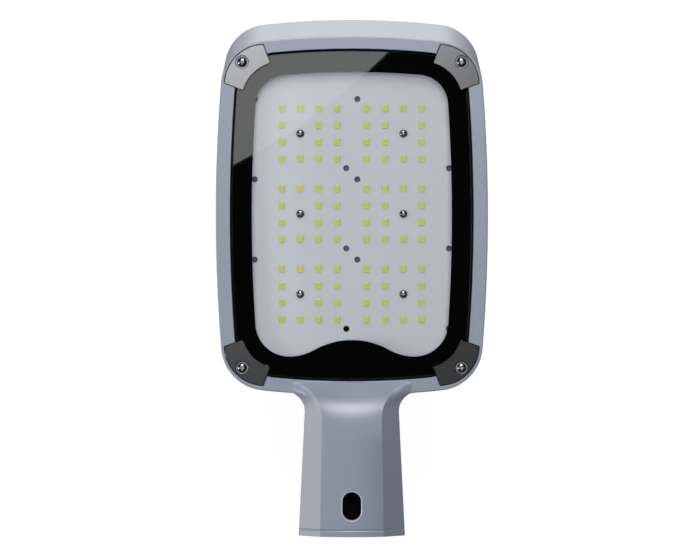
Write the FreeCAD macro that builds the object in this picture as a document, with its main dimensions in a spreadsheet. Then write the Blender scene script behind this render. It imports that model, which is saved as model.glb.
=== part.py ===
import FreeCAD, Part
import math
import os
from collections import namedtuple

import Sketcher
from FreeCAD import Placement, Rotation, Vector

# Street light head, glass side down (towards -Z), for the top of a 60 mm pole arm.
# The origin is the middle of the pole socket at its mouth. The socket opens
# towards +Y, the nose points towards -Y, and +Z is the sky side.

os.makedirs("parts", exist_ok=True)
doc = FreeCAD.newDocument("StreetLightHead")
sheet = doc.addObject("Spreadsheet::Sheet", "Sizes")

# Each row is an alias, its value in millimetres, degrees or pieces, and what it is.
drivingSizes = [
    ("boreRadius", 30.5, "pole socket, for a 60 mm pole"),
    ("boreDepth", 75, "from the mouth to the pole stop"),
    ("neckMouthWall", 6.2, "side of the neck at its mouth"),
    ("neckRootWall", 2.0, "side of the neck where the root fillet starts"),
    ("neckFaceWall", 7, "lower and upper faces of the neck"),
    ("faceMouthWidth", 43.9, "lower face between its creases, at the mouth"),
    ("faceRootWidth", 41.1, "lower face between its creases, at the root"),
    ("faceCrown", 3, "rise of the domed lower face"),
    ("backCrown", 0.9, "rise of the slightly domed upper face"),
    ("rampCrown", 0.1, "rise of the ramp, which is nearly flat across"),
    ("rimDrop", 15, "neck's lower face below the head's rim"),
    ("rootDistance", 85.7, "mouth to the start of the root fillet"),
    ("rootFilletRadius", 13.2, "side of the neck into the head, seen from below"),
    ("creaseFlareStart", 80.7, "mouth to where the creases start to spread"),
    ("creaseFlareRadius", 27, "spread of the creases on the ramp"),
    ("rampAngle", 38, "slope from the rim up to the neck's lower face"),
    ("rampRadius", 28.5, "rounding from the ramp into the lower face"),
    ("flareLead", 1.5, "level stretch of the flare before the ramp's rounding"),
    ("flareSteps", 12, "sections between the start of the flare and the driver bay"),
    ("flareTurn", 70, "arc of each flare, which then runs on at its slope"),
    ("flareSlope", 0.3, "sideways for each millimetre past the arc"),
    ("facetFoot", 0.3, "outer edges of the neck's facets, behind the rim's face"),
    ("facetLeast", 1, "least width of a facet, seen from below"),
    ("neckSink", 1, "neck's upper face below the head's back, where they join"),
    ("lipWidth", 3.6, "band at the mouth"),
    ("grooveWidth", 1.6, "groove behind the lip"),
    ("grooveDepth", 0.5, ""),
    ("slotWidth", 12.8, "drain slot under the neck"),
    ("slotLength", 19.3, ""),
    ("slotFromMouth", 21.1, "mouth to the middle of the slot"),
    ("slotBevel", 0.6, "chamfer round the slot"),
    ("headDistance", 96.7, "mouth to the head's end edge"),
    ("rimLength", 247.7, "head along the middle, at the rim"),
    ("rimWidth", 188, "widest part of the rim"),
    ("sideBulgeRadius", 1143, "curve of the long sides"),
    ("endBulgeRadius", 570, "curve of the nose and of the neck end"),
    ("rimCornerRadius", 31.5, ""),
    ("rimEdgeRadius", 0.8, "rounded outer edge of the rim"),
    ("noseFlare", 14.4, "how far the nose leans out behind the rim"),
    ("noseCornerRadius", 30.5, "nose corners where the shell is widest"),
    ("roofThickness", 5.5, "driver bay to the back"),
    ("crownBand", 0.5, "upright wall between the widest level and the rounded edge"),
    ("shoulderRadius", 11, "rounded edge of the back"),
    ("rimSideBorder", 9.8, "rim beside the glass pocket"),
    ("rimNoseBorder", 8.4, ""),
    ("rimNeckBorder", 9.5, ""),
    ("pocketCornerRadius", 31, ""),
    ("glassRecess", 1.2, "glass below the rim"),
    ("glassThickness", 4, ""),
    ("glassGap", 1.4, "pocket wall to the glass"),
    ("glassBevel", 0.7, "ground edge of the glass"),
    ("filmThickness", 0.3, "enamel print on the inner face"),
    ("filmInset", 0.9, "bare edge of the glass round the print"),
    ("windowSideMargin", 15.0, "pocket edge to the clear window in the print"),
    ("windowNoseMargin", 15.9, "nose end"),
    ("windowNeckMargin", 17.1, "neck end"),
    ("windowNoseCorner", 21, ""),
    ("windowNeckCorner", 23.5, ""),
    ("bumpHeight", 11.4, "hump of the print at the neck end"),
    ("bumpRadius", 53, ""),
    ("gasketThickness", 2, ""),
    ("gasketGap", 1.0, "gasket to the pocket wall and to the cavity"),
    ("ledgeWidth", 8.2, "glass seat round the cavity"),
    ("cavityDepth", 9, "glass seat to the board floor"),
    ("padThickness", 0.5, "thermal pad"),
    ("padSideMargin", 6, "pad to the cavity's long sides"),
    ("padEndMargin", 4, "pad to the nose end of the cavity and to the driver bay"),
    ("padCorner", 5, "pad corners beside the driver bay"),
    ("boardThickness", 2, ""),
    ("boardGap", 1.5, "board to the cavity wall"),
    ("ledColumns", 8, ""),
    ("ledRows", 4, "in each group"),
    ("ledGroups", 3, ""),
    ("ledColumnPitch", 12.75, ""),
    ("ledMiddlePitch", 20.6, "between the two middle columns"),
    ("ledRowPitch", 11.67, ""),
    ("groupPitch", 55.75, ""),
    ("ledShift", 1.0, "groups towards the nose from the middle of the glass"),
    ("ledWidth", 3.6, ""),
    ("ledLength", 4.4, ""),
    ("ledHeight", 0.8, ""),
    ("ledWall", 0.3, "package round its well"),
    ("phosphorDepth", 0.35, ""),
    ("boardHoleRadius", 2.15, ""),
    ("holeNearX", 3.85, "holes beside the middle line"),
    ("holeFarInset", 7.1, "holes beside the long sides, from the board's edge"),
    ("holeOffset", 24.0, "holes from their group's middle"),
    ("boardScrewRadius", 1.5, ""),
    ("boardScrewLength", 8, ""),
    ("boardHeadRadius", 2.8, ""),
    ("boardHeadHeight", 2.0, ""),
    ("boardScrewRoom", 0.2, "holes round the board and driver screws"),
    ("clipSpan", 37.6, "tip to tip of the outer edge"),
    ("clipOuterRadius", 27.5, ""),
    ("clipReach", 5.65, "screw to the outer edge"),
    ("clipInnerSpan", 26.6, ""),
    ("clipInnerRadius", 27.4, ""),
    ("clipBack", 14.3, "screw to the inner corners"),
    ("clipCornerRadius", 1.2, ""),
    ("clipThickness", 3.2, ""),
    ("clipGap", 0.5, "clip to its recess and to the glass edge"),
    ("clipScrewOffset", 5.5, "glass corner to the screw"),
    ("clipScrewTurn", 43.2, "direction of the screw from the corner's centre"),
    ("clipScrewRadius", 2.0, ""),
    ("clipScrewLength", 12, ""),
    ("clipHeadRadius", 3.85, ""),
    ("clipHeadHeight", 2.4, ""),
    ("clipHeadRoom", 0.65, "counterbore round the head"),
    ("clipBoreDepth", 1.5, ""),
    ("clipHoleClearance", 0.25, "clip's hole round the screw"),
    ("panFlat", 0.62, "flat top of a pan head, as a share of its radius"),
    ("panShoulder", 0.86, "height of the rounded shoulder, as a share of the head's"),
    ("panEdge", 0.5, "height of the straight edge, as a share of the head's"),
    ("crossSpan", 0.56, "arm of the cross recess, as a share of the head's radius"),
    ("crossWidth", 0.13, "half its width, as a share of the head's radius"),
    ("crossDepth", 0.55, "as a share of the head's height"),
    ("screwClearance", 0.05, "screw to its thread, all round"),
    ("screwTipRoom", 0.3, "blind holes past the tips of their screws"),
    ("clipTipRoom", 1, ""),
    ("baySideGap", 1, "driver and terminal block to the ends of the bay"),
    ("bayNeckGap", 13.5, "driver to the bay's neck wall, with the gland's nut between them"),
    ("bayFloorGap", 6, "driver to the level of the board floor"),
    ("driverBayCorner", 8, ""),
    ("endWall", 14.6, "bay to the head's end edge"),
    ("driverWidth", 108, ""),
    ("driverLength", 31, ""),
    ("driverHeight", 22, ""),
    ("driverEar", 7, "screw ear at each end of the driver"),
    ("driverEarShare", 0.5, "width of an ear, as a share of the driver's length"),
    ("driverEarThickness", 2.5, ""),
    ("driverSideGap", 1.5, "driver to the bay's nose wall"),
    ("driverEdgeRadius", 2, ""),
    ("driverScrewRadius", 1.75, ""),
    ("driverScrewLength", 6, ""),
    ("driverHeadRadius", 3.0, ""),
    ("driverHeadHeight", 2.2, ""),
    ("terminalWidth", 16, ""),
    ("terminalLength", 24, ""),
    ("terminalHeight", 13, ""),
    ("terminalGap", 4, "driver to terminal block"),
    ("terminalWays", 3, ""),
    ("terminalWellShare", 0.5, "depth of the screw wells, as a share of the block's height"),
    ("terminalLeadShare", 0.75, "ceiling to the leads, as a share of the block's height"),
    ("terminalHoleRadius", 2.2, ""),
    ("terminalScrewRadius", 1.6, ""),
    ("terminalScrewLength", 3.5, ""),
    ("connectorInset", 10, "driver's left end to the middle of the board connector"),
    ("connectorWidth", 11, ""),
    ("connectorLength", 5, ""),
    ("connectorHeight", 5, ""),
    ("connectorGap", 3, "connector to the bay's neck wall"),
    ("leadRadius", 1.2, ""),
    ("leadBend", 4.5, "bend of the leads to the board"),
    ("glandLevel", 8, "gland above the socket's axis"),
    ("glandThreadRadius", 8, ""),
    ("glandRoom", 3.453, "passage round the gland's hexagon"),
    ("glandWall", 8, "partition that the gland is screwed into"),
    ("glandHexWall", 2, "thread to the flats of the gland"),
    ("glandHexLength", 6, ""),
    ("glandNeckLength", 9, "threaded end that takes the cap"),
    ("glandCapLength", 15, ""),
    ("glandNutThickness", 4.5, ""),
    ("glandNutWall", 1.5, "thread to the flats of the nut"),
    ("glandCordRadius", 4, "hole for the supply cord"),
    ("glandSealRadius", 6.2, ""),
    ("glandSealLength", 6, ""),
    ("glandThroatRoom", 0.8, "throat round the cord's hole"),
    ("glandStub", 1.5, "thread showing past the nut"),
    ("glandCapGap", 0.5, "cap to the gland's hexagon"),
    ("glandDome", 3, "rounded end of the cap"),
    ("finSlotWidth", 7, "slots between the cooling fins"),
    ("finPitch", 11, ""),
    ("finSlots", 13, ""),
    ("finFloor", 7, "metal left between the board floor and the slots"),
    ("finNoseMargin", 20, "nose to the slots"),
    ("finNeckMargin", 12, "driver bay to the slots"),
    ("poleScrewRadius", 4, ""),
    ("poleScrewLength", 14, ""),
    ("poleScrewFlats", 13, ""),
    ("poleHeadHeight", 5.3, ""),
    ("poleScrewFirst", 22, "mouth to the first pole screw"),
    ("poleScrewPitch", 33, ""),
    ("poleScrewBack", 0.4, "screw tip behind the socket's wall"),
    ("poleBossRadius", 9.5, ""),
    ("poleBossHeight", 4, ""),
    ("poleBossRoot", 4, "boss inside the neck's upper wall"),
]

# Levels and places that follow from the driving sizes.
derivedSizes = [
    ("neckMouthWidth", "=2 * (boreRadius + neckMouthWall)", ""),
    ("neckRootWidth", "=2 * (boreRadius + neckRootWall)", ""),
    ("neckHeight", "=2 * (boreRadius + neckFaceWall)", ""),
    ("rimLevel", "=rimDrop - neckHeight / 2", "outer face of the rim"),
    ("neckEndY", "=-headDistance", "head's end edge"),
    ("rimNoseY", "=-headDistance - rimLength", ""),
    ("pocketNoseY", "=rimNoseY + rimNoseBorder", ""),
    ("pocketNeckY", "=neckEndY - rimNeckBorder", ""),
    ("middleY", "=(pocketNoseY + pocketNeckY) / 2", "middle of the glass"),
    ("pocketHalfWidth", "=rimWidth / 2 - rimSideBorder", ""),
    ("glassOuterLevel", "=rimLevel + glassRecess", ""),
    ("glassInnerLevel", "=glassOuterLevel + glassThickness", ""),
    ("filmLevel", "=glassInnerLevel + filmThickness", ""),
    ("ledgeLevel", "=filmLevel + gasketThickness", ""),
    ("floorLevel", "=ledgeLevel + cavityDepth", ""),
    ("boardBackLevel", "=floorLevel - padThickness", ""),
    ("boardFrontLevel", "=boardBackLevel - boardThickness", ""),
    ("clipSeatLevel", "=rimLevel + clipThickness", ""),
    ("clipBoreRadius", "=clipHeadRadius + clipHeadRoom", "counterbore for the head"),
    ("bayCeiling", "=floorLevel + bayFloorGap + driverHeight", ""),
    ("backLevel", "=bayCeiling + roofThickness", ""),
    ("widestLevel", "=backLevel - shoulderRadius - crownBand", ""),
    ("bayNeckY", "=neckEndY - endWall", ""),
    ("bayNoseY", "=bayNeckY - driverSideGap - driverLength - bayNeckGap", ""),
    ("driverNoseY", "=bayNoseY + driverSideGap", ""),
    ("driverOffset", "=(terminalGap + terminalWidth) / 2", "driver to the left of the middle"),
    ("bayHalfWidth", "=driverWidth / 2 + driverEar + driverOffset + baySideGap", ""),
    ("connectorX", "=driverOffset + driverWidth / 2 - connectorInset", "to the left"),
    ("terminalLeftX", "=driverWidth / 2 - driverOffset + terminalGap + driverEar", ""),
    ("windowHalfWidth", "=pocketHalfWidth - windowSideMargin", ""),
    ("phosphorWidth", "=ledWidth - 2 * ledWall", ""),
    ("phosphorLength", "=ledLength - 2 * ledWall", ""),
    ("ledCentreY", "=middleY - ledShift", ""),
    ("holeFarX", "=pocketHalfWidth - ledgeWidth - boardGap - holeFarInset", ""),
    ("partitionY", "=bayNeckY + glandWall", "neck face of the partition"),
    ("glandFlats", "=2 * (glandThreadRadius + glandHexWall)", ""),
    ("glandNutFlats", "=2 * (glandThreadRadius + glandNutWall)", ""),
    ("glandPassageRadius", "=glandFlats / sqrt(3) + glandRoom", ""),
]

for number, (alias, value, note) in enumerate(drivingSizes + derivedSizes, start=1):
    sheet.set(f"A{number}", alias)
    sheet.set(f"B{number}", str(value))
    sheet.setAlias(f"B{number}", alias)
    sheet.set(f"C{number}", note)
doc.recompute()


def size(alias):
    return float(getattr(sheet, alias))


def count(alias):
    return int(round(size(alias)))


nodes = []


def addNode(thing, label):
    thing.Label = label
    nodes.append(thing)
    return thing


def shapeFeature(name, shape):
    feature = doc.addObject("Part::Feature", name)
    feature.Shape = shape
    return feature


# Sketches and simple bodies

def originPlane(body, role):
    return next(plane for plane in body.Origin.OriginFeatures if plane.Role == role)


def newSketch(body, name, role="XY_Plane", level=None):
    sketch = body.newObject("Sketcher::SketchObject", name)
    sketch.AttachmentSupport = [(originPlane(body, role), "")]
    sketch.MapMode = "FlatFace"
    if level is not None:
        sketch.setExpression("AttachmentOffset.Base.z", level)
    return sketch


def valueOf(expression):
    value = sheet.evalExpression(expression.replace("Sizes.", ""))
    return float(getattr(value, "Value", value))


def drawPolygon(sketch, corners):
    # Corners are pairs of expressions, measured from the sketch's origin.
    points = [Vector(valueOf(across), valueOf(along), 0) for across, along in corners]
    first = sketch.GeometryCount
    total = len(points)
    for index in range(total):
        sketch.addGeometry(Part.LineSegment(points[index], points[(index + 1) % total]))
    for index in range(total):
        following = first + (index + 1) % total
        sketch.addConstraint(Sketcher.Constraint("Coincident", first + index, 2, following, 1))
    for index, (across, along) in enumerate(corners):
        for kind, value, expression in (
            ("DistanceX", points[index].x, across),
            ("DistanceY", points[index].y, along),
        ):
            number = sketch.addConstraint(
                Sketcher.Constraint(kind, -1, 1, first + index, 1, value)
            )
            sketch.setExpression(f"Constraints[{number}]", expression)


def drawCircle(sketch, across, along, radius):
    centre = Vector(valueOf(across), valueOf(along), 0)
    circle = sketch.addGeometry(Part.Circle(centre, Vector(0, 0, 1), valueOf(radius)))
    for constraint, expression in (
        (Sketcher.Constraint("Radius", circle, valueOf(radius)), radius),
        (Sketcher.Constraint("DistanceX", -1, 1, circle, 3, centre.x), across),
        (Sketcher.Constraint("DistanceY", -1, 1, circle, 3, centre.y), along),
    ):
        number = sketch.addConstraint(constraint)
        sketch.setExpression(f"Constraints[{number}]", expression)


def drawCurves(sketch, curves):
    for curve in curves:
        number = sketch.addGeometry(curve)
        sketch.addConstraint(Sketcher.Constraint("Block", number))


def padSketch(body, sketch, length, name="Pad", downward=False):
    pad = body.newObject("PartDesign::Pad", name)
    pad.Profile = sketch
    pad.setExpression("Length", length)
    pad.Reversed = downward
    return pad


def pocketSketch(body, sketch, length, name="Pocket", upward=False):
    pocket = body.newObject("PartDesign::Pocket", name)
    pocket.Profile = sketch
    pocket.setExpression("Length", length)
    pocket.Reversed = upward
    return pocket


def newBody(name, height=None):
    body = doc.addObject("PartDesign::Body", name)
    if height is not None:
        body.setExpression("Placement.Base.z", height)
    return body


def revolvedBody(name, corners):
    # A turned piece, drawn as half its section beside the Z axis.
    body = newBody(name)
    sketch = newSketch(body, name + "Section", "XZ_Plane")
    drawPolygon(sketch, corners)
    turn = body.newObject("PartDesign::Revolution", name + "Turn")
    turn.Profile = sketch
    turn.ReferenceAxis = (sketch, ["V_Axis"])
    turn.Angle = 360
    return body


def placed(shape, place):
    copy = shape.copy()
    copy.Placement = place.multiply(copy.Placement)
    return copy


def copiesAt(master, places):
    return Part.makeCompound([placed(master.Shape, place) for place in places])


# Outlines of the head, its pocket and its glass: bulged sides and rounded corners

Outline = namedtuple(
    "Outline", "halfWidth noseY neckY noseCorner neckCorner sideRadius endRadius"
)


def inset(outline, distance):
    return Outline(
        outline.halfWidth - distance,
        outline.noseY + distance,
        outline.neckY - distance,
        outline.noseCorner - distance,
        outline.neckCorner - distance,
        outline.sideRadius - distance,
        outline.endRadius - distance,
    )


def cornerCentre(sideCentre, sideReach, endCentre, endReach, towardsNose):
    # Where a circle round the side's centre meets one round the end's centre.
    apart = endCentre.sub(sideCentre)
    distance = apart.Length
    along = (sideReach ** 2 - endReach ** 2 + distance ** 2) / (2 * distance)
    across = math.sqrt(sideReach ** 2 - along ** 2)
    axis = Vector(apart).normalize()
    normal = Vector(-axis.y, axis.x, 0)
    foot = sideCentre.add(axis * along)
    choices = [foot.add(normal * across), foot.sub(normal * across)]
    return min(choices, key=lambda point: point.y if towardsNose else -point.y)


def rightCorner(outline, towardsNose):
    # Centre of a right-hand corner and its tangent points on the side and the end.
    radius = outline.noseCorner if towardsNose else outline.neckCorner
    sideCentre = Vector(outline.halfWidth - outline.sideRadius, size("middleY"), 0)
    endY = outline.noseY + outline.endRadius if towardsNose else outline.neckY - outline.endRadius
    endCentre = Vector(0, endY, 0)
    centre = cornerCentre(
        sideCentre, outline.sideRadius - radius, endCentre, outline.endRadius - radius, towardsNose
    )
    onSide = sideCentre.add(centre.sub(sideCentre).normalize() * outline.sideRadius)
    onEnd = endCentre.add(centre.sub(endCentre).normalize() * outline.endRadius)
    return centre, onSide, onEnd


def arcBetween(centre, start, end):
    # The arc from start to end, counterclockwise seen from +Z.
    circle = Part.Circle(centre, Vector(0, 0, 1), start.sub(centre).Length)
    first = math.atan2(start.y - centre.y, start.x - centre.x)
    last = math.atan2(end.y - centre.y, end.x - centre.x)
    if last <= first:
        last += 2 * math.pi
    return Part.ArcOfCircle(circle, first, last)


def flipped(point):
    return Vector(-point.x, point.y, point.z)


def outlineCurves(outline):
    noseCentre, noseSide, noseEnd = rightCorner(outline, True)
    neckCentre, neckSide, neckEnd = rightCorner(outline, False)
    sideCentre = Vector(outline.halfWidth - outline.sideRadius, size("middleY"), 0)
    noseArcCentre = Vector(0, outline.noseY + outline.endRadius, 0)
    neckArcCentre = Vector(0, outline.neckY - outline.endRadius, 0)
    return [
        arcBetween(noseArcCentre, flipped(noseEnd), noseEnd),
        arcBetween(noseCentre, noseEnd, noseSide),
        arcBetween(sideCentre, noseSide, neckSide),
        arcBetween(neckCentre, neckSide, neckEnd),
        arcBetween(neckArcCentre, neckEnd, flipped(neckEnd)),
        arcBetween(flipped(neckCentre), flipped(neckEnd), flipped(neckSide)),
        arcBetween(flipped(sideCentre), flipped(neckSide), flipped(noseSide)),
        arcBetween(flipped(noseCentre), flipped(noseSide), flipped(noseEnd)),
    ]


def outlineWire(outline, level):
    wire = Part.Wire([curve.toShape() for curve in outlineCurves(outline)])
    wire.translate(Vector(0, 0, level))
    return wire


def outlinePrism(outline, bottom, top):
    return Part.Face(outlineWire(outline, bottom)).extrude(Vector(0, 0, top - bottom))


rimOutline = Outline(
    size("rimWidth") / 2,
    size("rimNoseY"),
    size("neckEndY"),
    size("rimCornerRadius"),
    size("rimCornerRadius"),
    size("sideBulgeRadius"),
    size("endBulgeRadius"),
)
widestOutline = rimOutline._replace(
    noseY=rimOutline.noseY - size("noseFlare"), noseCorner=size("noseCornerRadius")
)
pocketOutline = Outline(
    size("pocketHalfWidth"),
    size("pocketNoseY"),
    size("pocketNeckY"),
    size("pocketCornerRadius"),
    size("pocketCornerRadius"),
    size("sideBulgeRadius") - size("rimSideBorder"),
    size("endBulgeRadius") - size("rimNoseBorder"),
)
glassOutline = inset(pocketOutline, size("glassGap"))
cavityOutline = inset(pocketOutline, size("ledgeWidth"))


# Housing: one casting, with the head, the neck and the cooling fins

# Cutters run this far past the faces that they open.
overrun = 1.0
sameLevel = 1e-4


def liesAt(edge, level):
    box = edge.BoundBox
    return max(abs(box.ZMin - level), abs(box.ZMax - level)) < sameLevel


def edgesAt(shape, level):
    return [edge for edge in shape.Edges if liesAt(edge, level)]


def edgeNamesAt(shape, level):
    return [
        f"Edge{number}" for number, edge in enumerate(shape.Edges, start=1) if liesAt(edge, level)
    ]


def headShell():
    # The walls lean out from the rim to the widest level, and the back above it is rounded.
    rim = outlineWire(rimOutline, size("rimLevel"))
    widest = outlineWire(widestOutline, size("widestLevel"))
    walls = Part.makeLoft([rim, widest], True, True)
    walls = walls.makeFillet(size("rimEdgeRadius"), edgesAt(walls, size("rimLevel")))
    back = outlinePrism(widestOutline, size("widestLevel"), size("backLevel"))
    back = back.makeFillet(size("shoulderRadius"), edgesAt(back, size("backLevel")))
    return walls.fuse(back)


def rampTangent(drop):
    # Distance from the mouth where the straight ramp runs into its rounding.
    slope = math.radians(size("rampAngle"))
    foot = size("headDistance") + size("rimNeckBorder")
    roundedDrop = size("rampRadius") * (1 - math.cos(slope))
    return foot - (drop - roundedDrop) / math.tan(slope)


def rampStart(drop):
    return rampTangent(drop) - size("rampRadius") * math.sin(math.radians(size("rampAngle")))


def rampHeight(distance, drop):
    # How far the neck stands below the rim, on a line that ends at this drop at the mouth.
    if distance >= rampTangent(drop):
        foot = size("headDistance") + size("rimNeckBorder")
        return (foot - distance) * math.tan(math.radians(size("rampAngle")))
    beyond = max(0, distance - rampStart(drop))
    sink = size("rampRadius") - math.sqrt(size("rampRadius") ** 2 - beyond ** 2)
    return drop - sink


def flareOut(distance, start, radius):
    # How far an edge has spread sideways, at a distance from the mouth.
    turn = math.radians(size("flareTurn"))
    beyond = max(0, distance - start)
    arcEnd = radius * math.sin(turn)
    if beyond <= arcEnd:
        return radius - math.sqrt(radius ** 2 - beyond ** 2)
    return radius * (1 - math.cos(turn)) + (beyond - arcEnd) * size("flareSlope")


def neckSection(distance, shrink=0):
    # An octagon with domed lower and upper faces, standing across the Y axis.
    share = min(1, distance / size("rootDistance"))
    half = (size("neckMouthWidth") + (size("neckRootWidth") - size("neckMouthWidth")) * share) / 2
    half += flareOut(distance, size("rootDistance"), size("rootFilletRadius"))
    face = (size("faceMouthWidth") + (size("faceRootWidth") - size("faceMouthWidth")) * share) / 2
    face += flareOut(distance, size("creaseFlareStart"), size("creaseFlareRadius"))
    face = min(face, half - size("facetLeast"))
    rim = -size("rimLevel")
    foot = rim - size("facetFoot")
    # The ramp is flat across and meets the domed face sooner at the creases than in the middle.
    middle = rampHeight(distance, size("rimDrop"))
    creases = rampHeight(distance, size("rimDrop") - size("faceCrown"))
    lower = -(rim + middle) + shrink
    crease = lower + max(size("rampCrown"), middle - creases)
    upper = rim + max(middle, size("backLevel") - rim - size("neckSink")) - shrink
    shoulder = upper - size("backCrown")
    half -= shrink

    def at(across, level):
        return Vector(across, -distance, level)

    edges = [
        Part.Arc(at(-face, crease), at(0, lower), at(face, crease)).toShape(),
        Part.makeLine(at(face, crease), at(half, -foot)),
        Part.makeLine(at(half, -foot), at(half, foot)),
        Part.makeLine(at(half, foot), at(face, shoulder)),
        Part.Arc(at(face, shoulder), at(0, upper), at(-face, shoulder)).toShape(),
        Part.makeLine(at(-face, shoulder), at(-half, foot)),
        Part.makeLine(at(-half, foot), at(-half, -foot)),
        Part.makeLine(at(-half, -foot), at(-face, crease)),
    ]
    return Part.Wire(edges)


def neckSolid():
    # A straight taper, then a flare whose sections stand close together.
    lip = size("lipWidth")
    groove = size("grooveWidth")
    flareStart = rampStart(size("rimDrop")) - size("flareLead")
    flareEnd = size("headDistance") + size("endWall")
    steps = count("flareSteps")
    stations = [flareStart + (flareEnd - flareStart) * step / steps for step in range(steps + 1)]
    flare = Part.makeLoft([neckSection(distance) for distance in stations], True, False)
    taper = Part.makeLoft([neckSection(lip + groove), neckSection(flareStart)], True, True)
    collar = Part.makeLoft([neckSection(0), neckSection(lip)], True, True)
    waist = Part.makeLoft(
        [
            neckSection(lip),
            neckSection(lip + groove / 2, size("grooveDepth")),
            neckSection(lip + groove),
        ],
        True,
        True,
    )
    return taper.fuse([flare, collar, waist])


def alongY(radius, nearest, farthest, level=0.0):
    # A round bar on the Y axis between two distances from the mouth.
    start = Vector(0, -farthest, level)
    return Part.makeCylinder(radius, farthest - nearest, start, Vector(0, 1, 0))


def upright(radius, x, y, bottom, top):
    return Part.makeCylinder(radius, top - bottom, Vector(x, y, bottom), Vector(0, 0, 1))


def slotWire(width, length, y, level):
    # A slot along the Y axis with round ends.
    side = width / 2
    half = length / 2 - side
    return Part.Wire(
        [
            Part.makeLine(Vector(side, y - half, level), Vector(side, y + half, level)),
            Part.Arc(
                Vector(side, y + half, level),
                Vector(0, y + half + side, level),
                Vector(-side, y + half, level),
            ).toShape(),
            Part.makeLine(Vector(-side, y + half, level), Vector(-side, y - half, level)),
            Part.Arc(
                Vector(-side, y - half, level),
                Vector(0, y - half - side, level),
                Vector(side, y - half, level),
            ).toShape(),
        ]
    )


def slotCutter(width, length, y, bottom, top):
    return Part.Face(slotWire(width, length, y, bottom)).extrude(Vector(0, 0, top - bottom))


def drainSlot():
    # From below the neck into the socket, with its outer edge bevelled.
    width = size("slotWidth")
    length = size("slotLength")
    y = -size("slotFromMouth")
    face = size("rimLevel") - size("rimDrop")
    bevel = size("slotBevel")
    spread = 2 * (bevel + overrun)
    funnel = Part.makeLoft(
        [
            slotWire(width + spread, length + spread, y, face - overrun),
            slotWire(width, length, y, face + bevel),
        ],
        True,
        True,
    )
    return slotCutter(width, length, y, face, -size("boreRadius") / 2).fuse(funnel)


def clipPlaces():
    # Screw of each clip, and the direction that the clip points in, by corner.
    places = {}
    for end, towardsNose in (("nose", True), ("neck", False)):
        centre = rightCorner(glassOutline, towardsNose)[0]
        reach = glassOutline.noseCorner + size("clipScrewOffset")
        turn = math.radians(size("clipScrewTurn"))
        way = -1 if towardsNose else 1
        x = centre.x + reach * math.cos(turn)
        y = centre.y + way * reach * math.sin(turn)
        places[f"clip_{end}_right"] = (x, y, 45 * way)
        places[f"clip_{end}_left"] = (-x, y, 180 - 45 * way)
    return places


def clipCurves():
    # Outline of a clip round its screw, with +X pointing out over the corner.
    half = size("clipSpan") / 2
    innerHalf = size("clipInnerSpan") / 2
    outer = size("clipOuterRadius")
    inner = size("clipInnerRadius")
    back = -size("clipBack")
    outerCentre = Vector(size("clipReach") - outer, 0, 0)
    innerCentre = Vector(back - math.sqrt(inner ** 2 - innerHalf ** 2), 0, 0)
    tip = outerCentre.x + math.sqrt(outer ** 2 - half ** 2)
    return [
        arcBetween(outerCentre, Vector(tip, -half, 0), Vector(tip, half, 0)),
        Part.LineSegment(Vector(tip, half, 0), Vector(back, innerHalf, 0)),
        arcBetween(innerCentre, Vector(back, -innerHalf, 0), Vector(back, innerHalf, 0)),
        Part.LineSegment(Vector(back, -innerHalf, 0), Vector(tip, -half, 0)),
    ]


def clipRecess(x, y, turn):
    edges = Part.sortEdges([curve.toShape() for curve in clipCurves()])[0]
    face = Part.Face(Part.Wire(edges)).makeOffset2D(size("clipGap"))
    recess = face.extrude(Vector(0, 0, size("clipThickness") + overrun))
    recess.Placement = Placement(
        Vector(x, y, size("rimLevel") - overrun), Rotation(Vector(0, 0, 1), turn)
    )
    return recess


def ledColumnsX():
    half = count("ledColumns") // 2
    right = [size("ledMiddlePitch") / 2 + index * size("ledColumnPitch") for index in range(half)]
    return [-x for x in reversed(right)] + right


def groupCentres():
    middle = (count("ledGroups") - 1) / 2
    return [
        size("ledCentreY") + (index - middle) * size("groupPitch")
        for index in range(count("ledGroups"))
    ]


def boardScrewPlaces():
    columns = ledColumnsX()
    return [(x, y) for y in groupCentres() for x in (columns[1], columns[-2])]


def driverScrewPlaces():
    reach = size("driverWidth") / 2 + size("driverEar") / 2
    y = size("driverNoseY") + size("driverLength") / 2
    return [(-size("driverOffset") + way * reach, y) for way in (-1, 1)]


def poleScrewPlaces():
    return [-size("poleScrewFirst") - index * size("poleScrewPitch") for index in range(2)]


def finSlots():
    bottom = size("floorLevel") + size("finFloor")
    top = size("backLevel") + overrun
    nose = size("rimNoseY") + size("finNoseMargin")
    neck = size("bayNoseY") - size("finNeckMargin")
    width = size("finSlotWidth")
    slots = []
    for index in range(count("finSlots")):
        slot = slotCutter(width, neck - nose, (neck + nose) / 2, bottom, top)
        slot.translate(Vector((index - (count("finSlots") - 1) / 2) * size("finPitch"), 0, 0))
        slots.append(slot)
    return slots


def driverBay():
    half = size("bayHalfWidth")
    bottom = size("floorLevel") - overrun
    bay = Part.makeBox(
        2 * half,
        size("bayNeckY") - size("bayNoseY"),
        size("bayCeiling") - bottom,
        Vector(-half, size("bayNoseY"), bottom),
    )
    edges = [edge for edge in bay.Edges if abs(edge.tangentAt(edge.FirstParameter).z) > 0.99]
    return bay.makeFillet(size("driverBayCorner"), edges)


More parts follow.
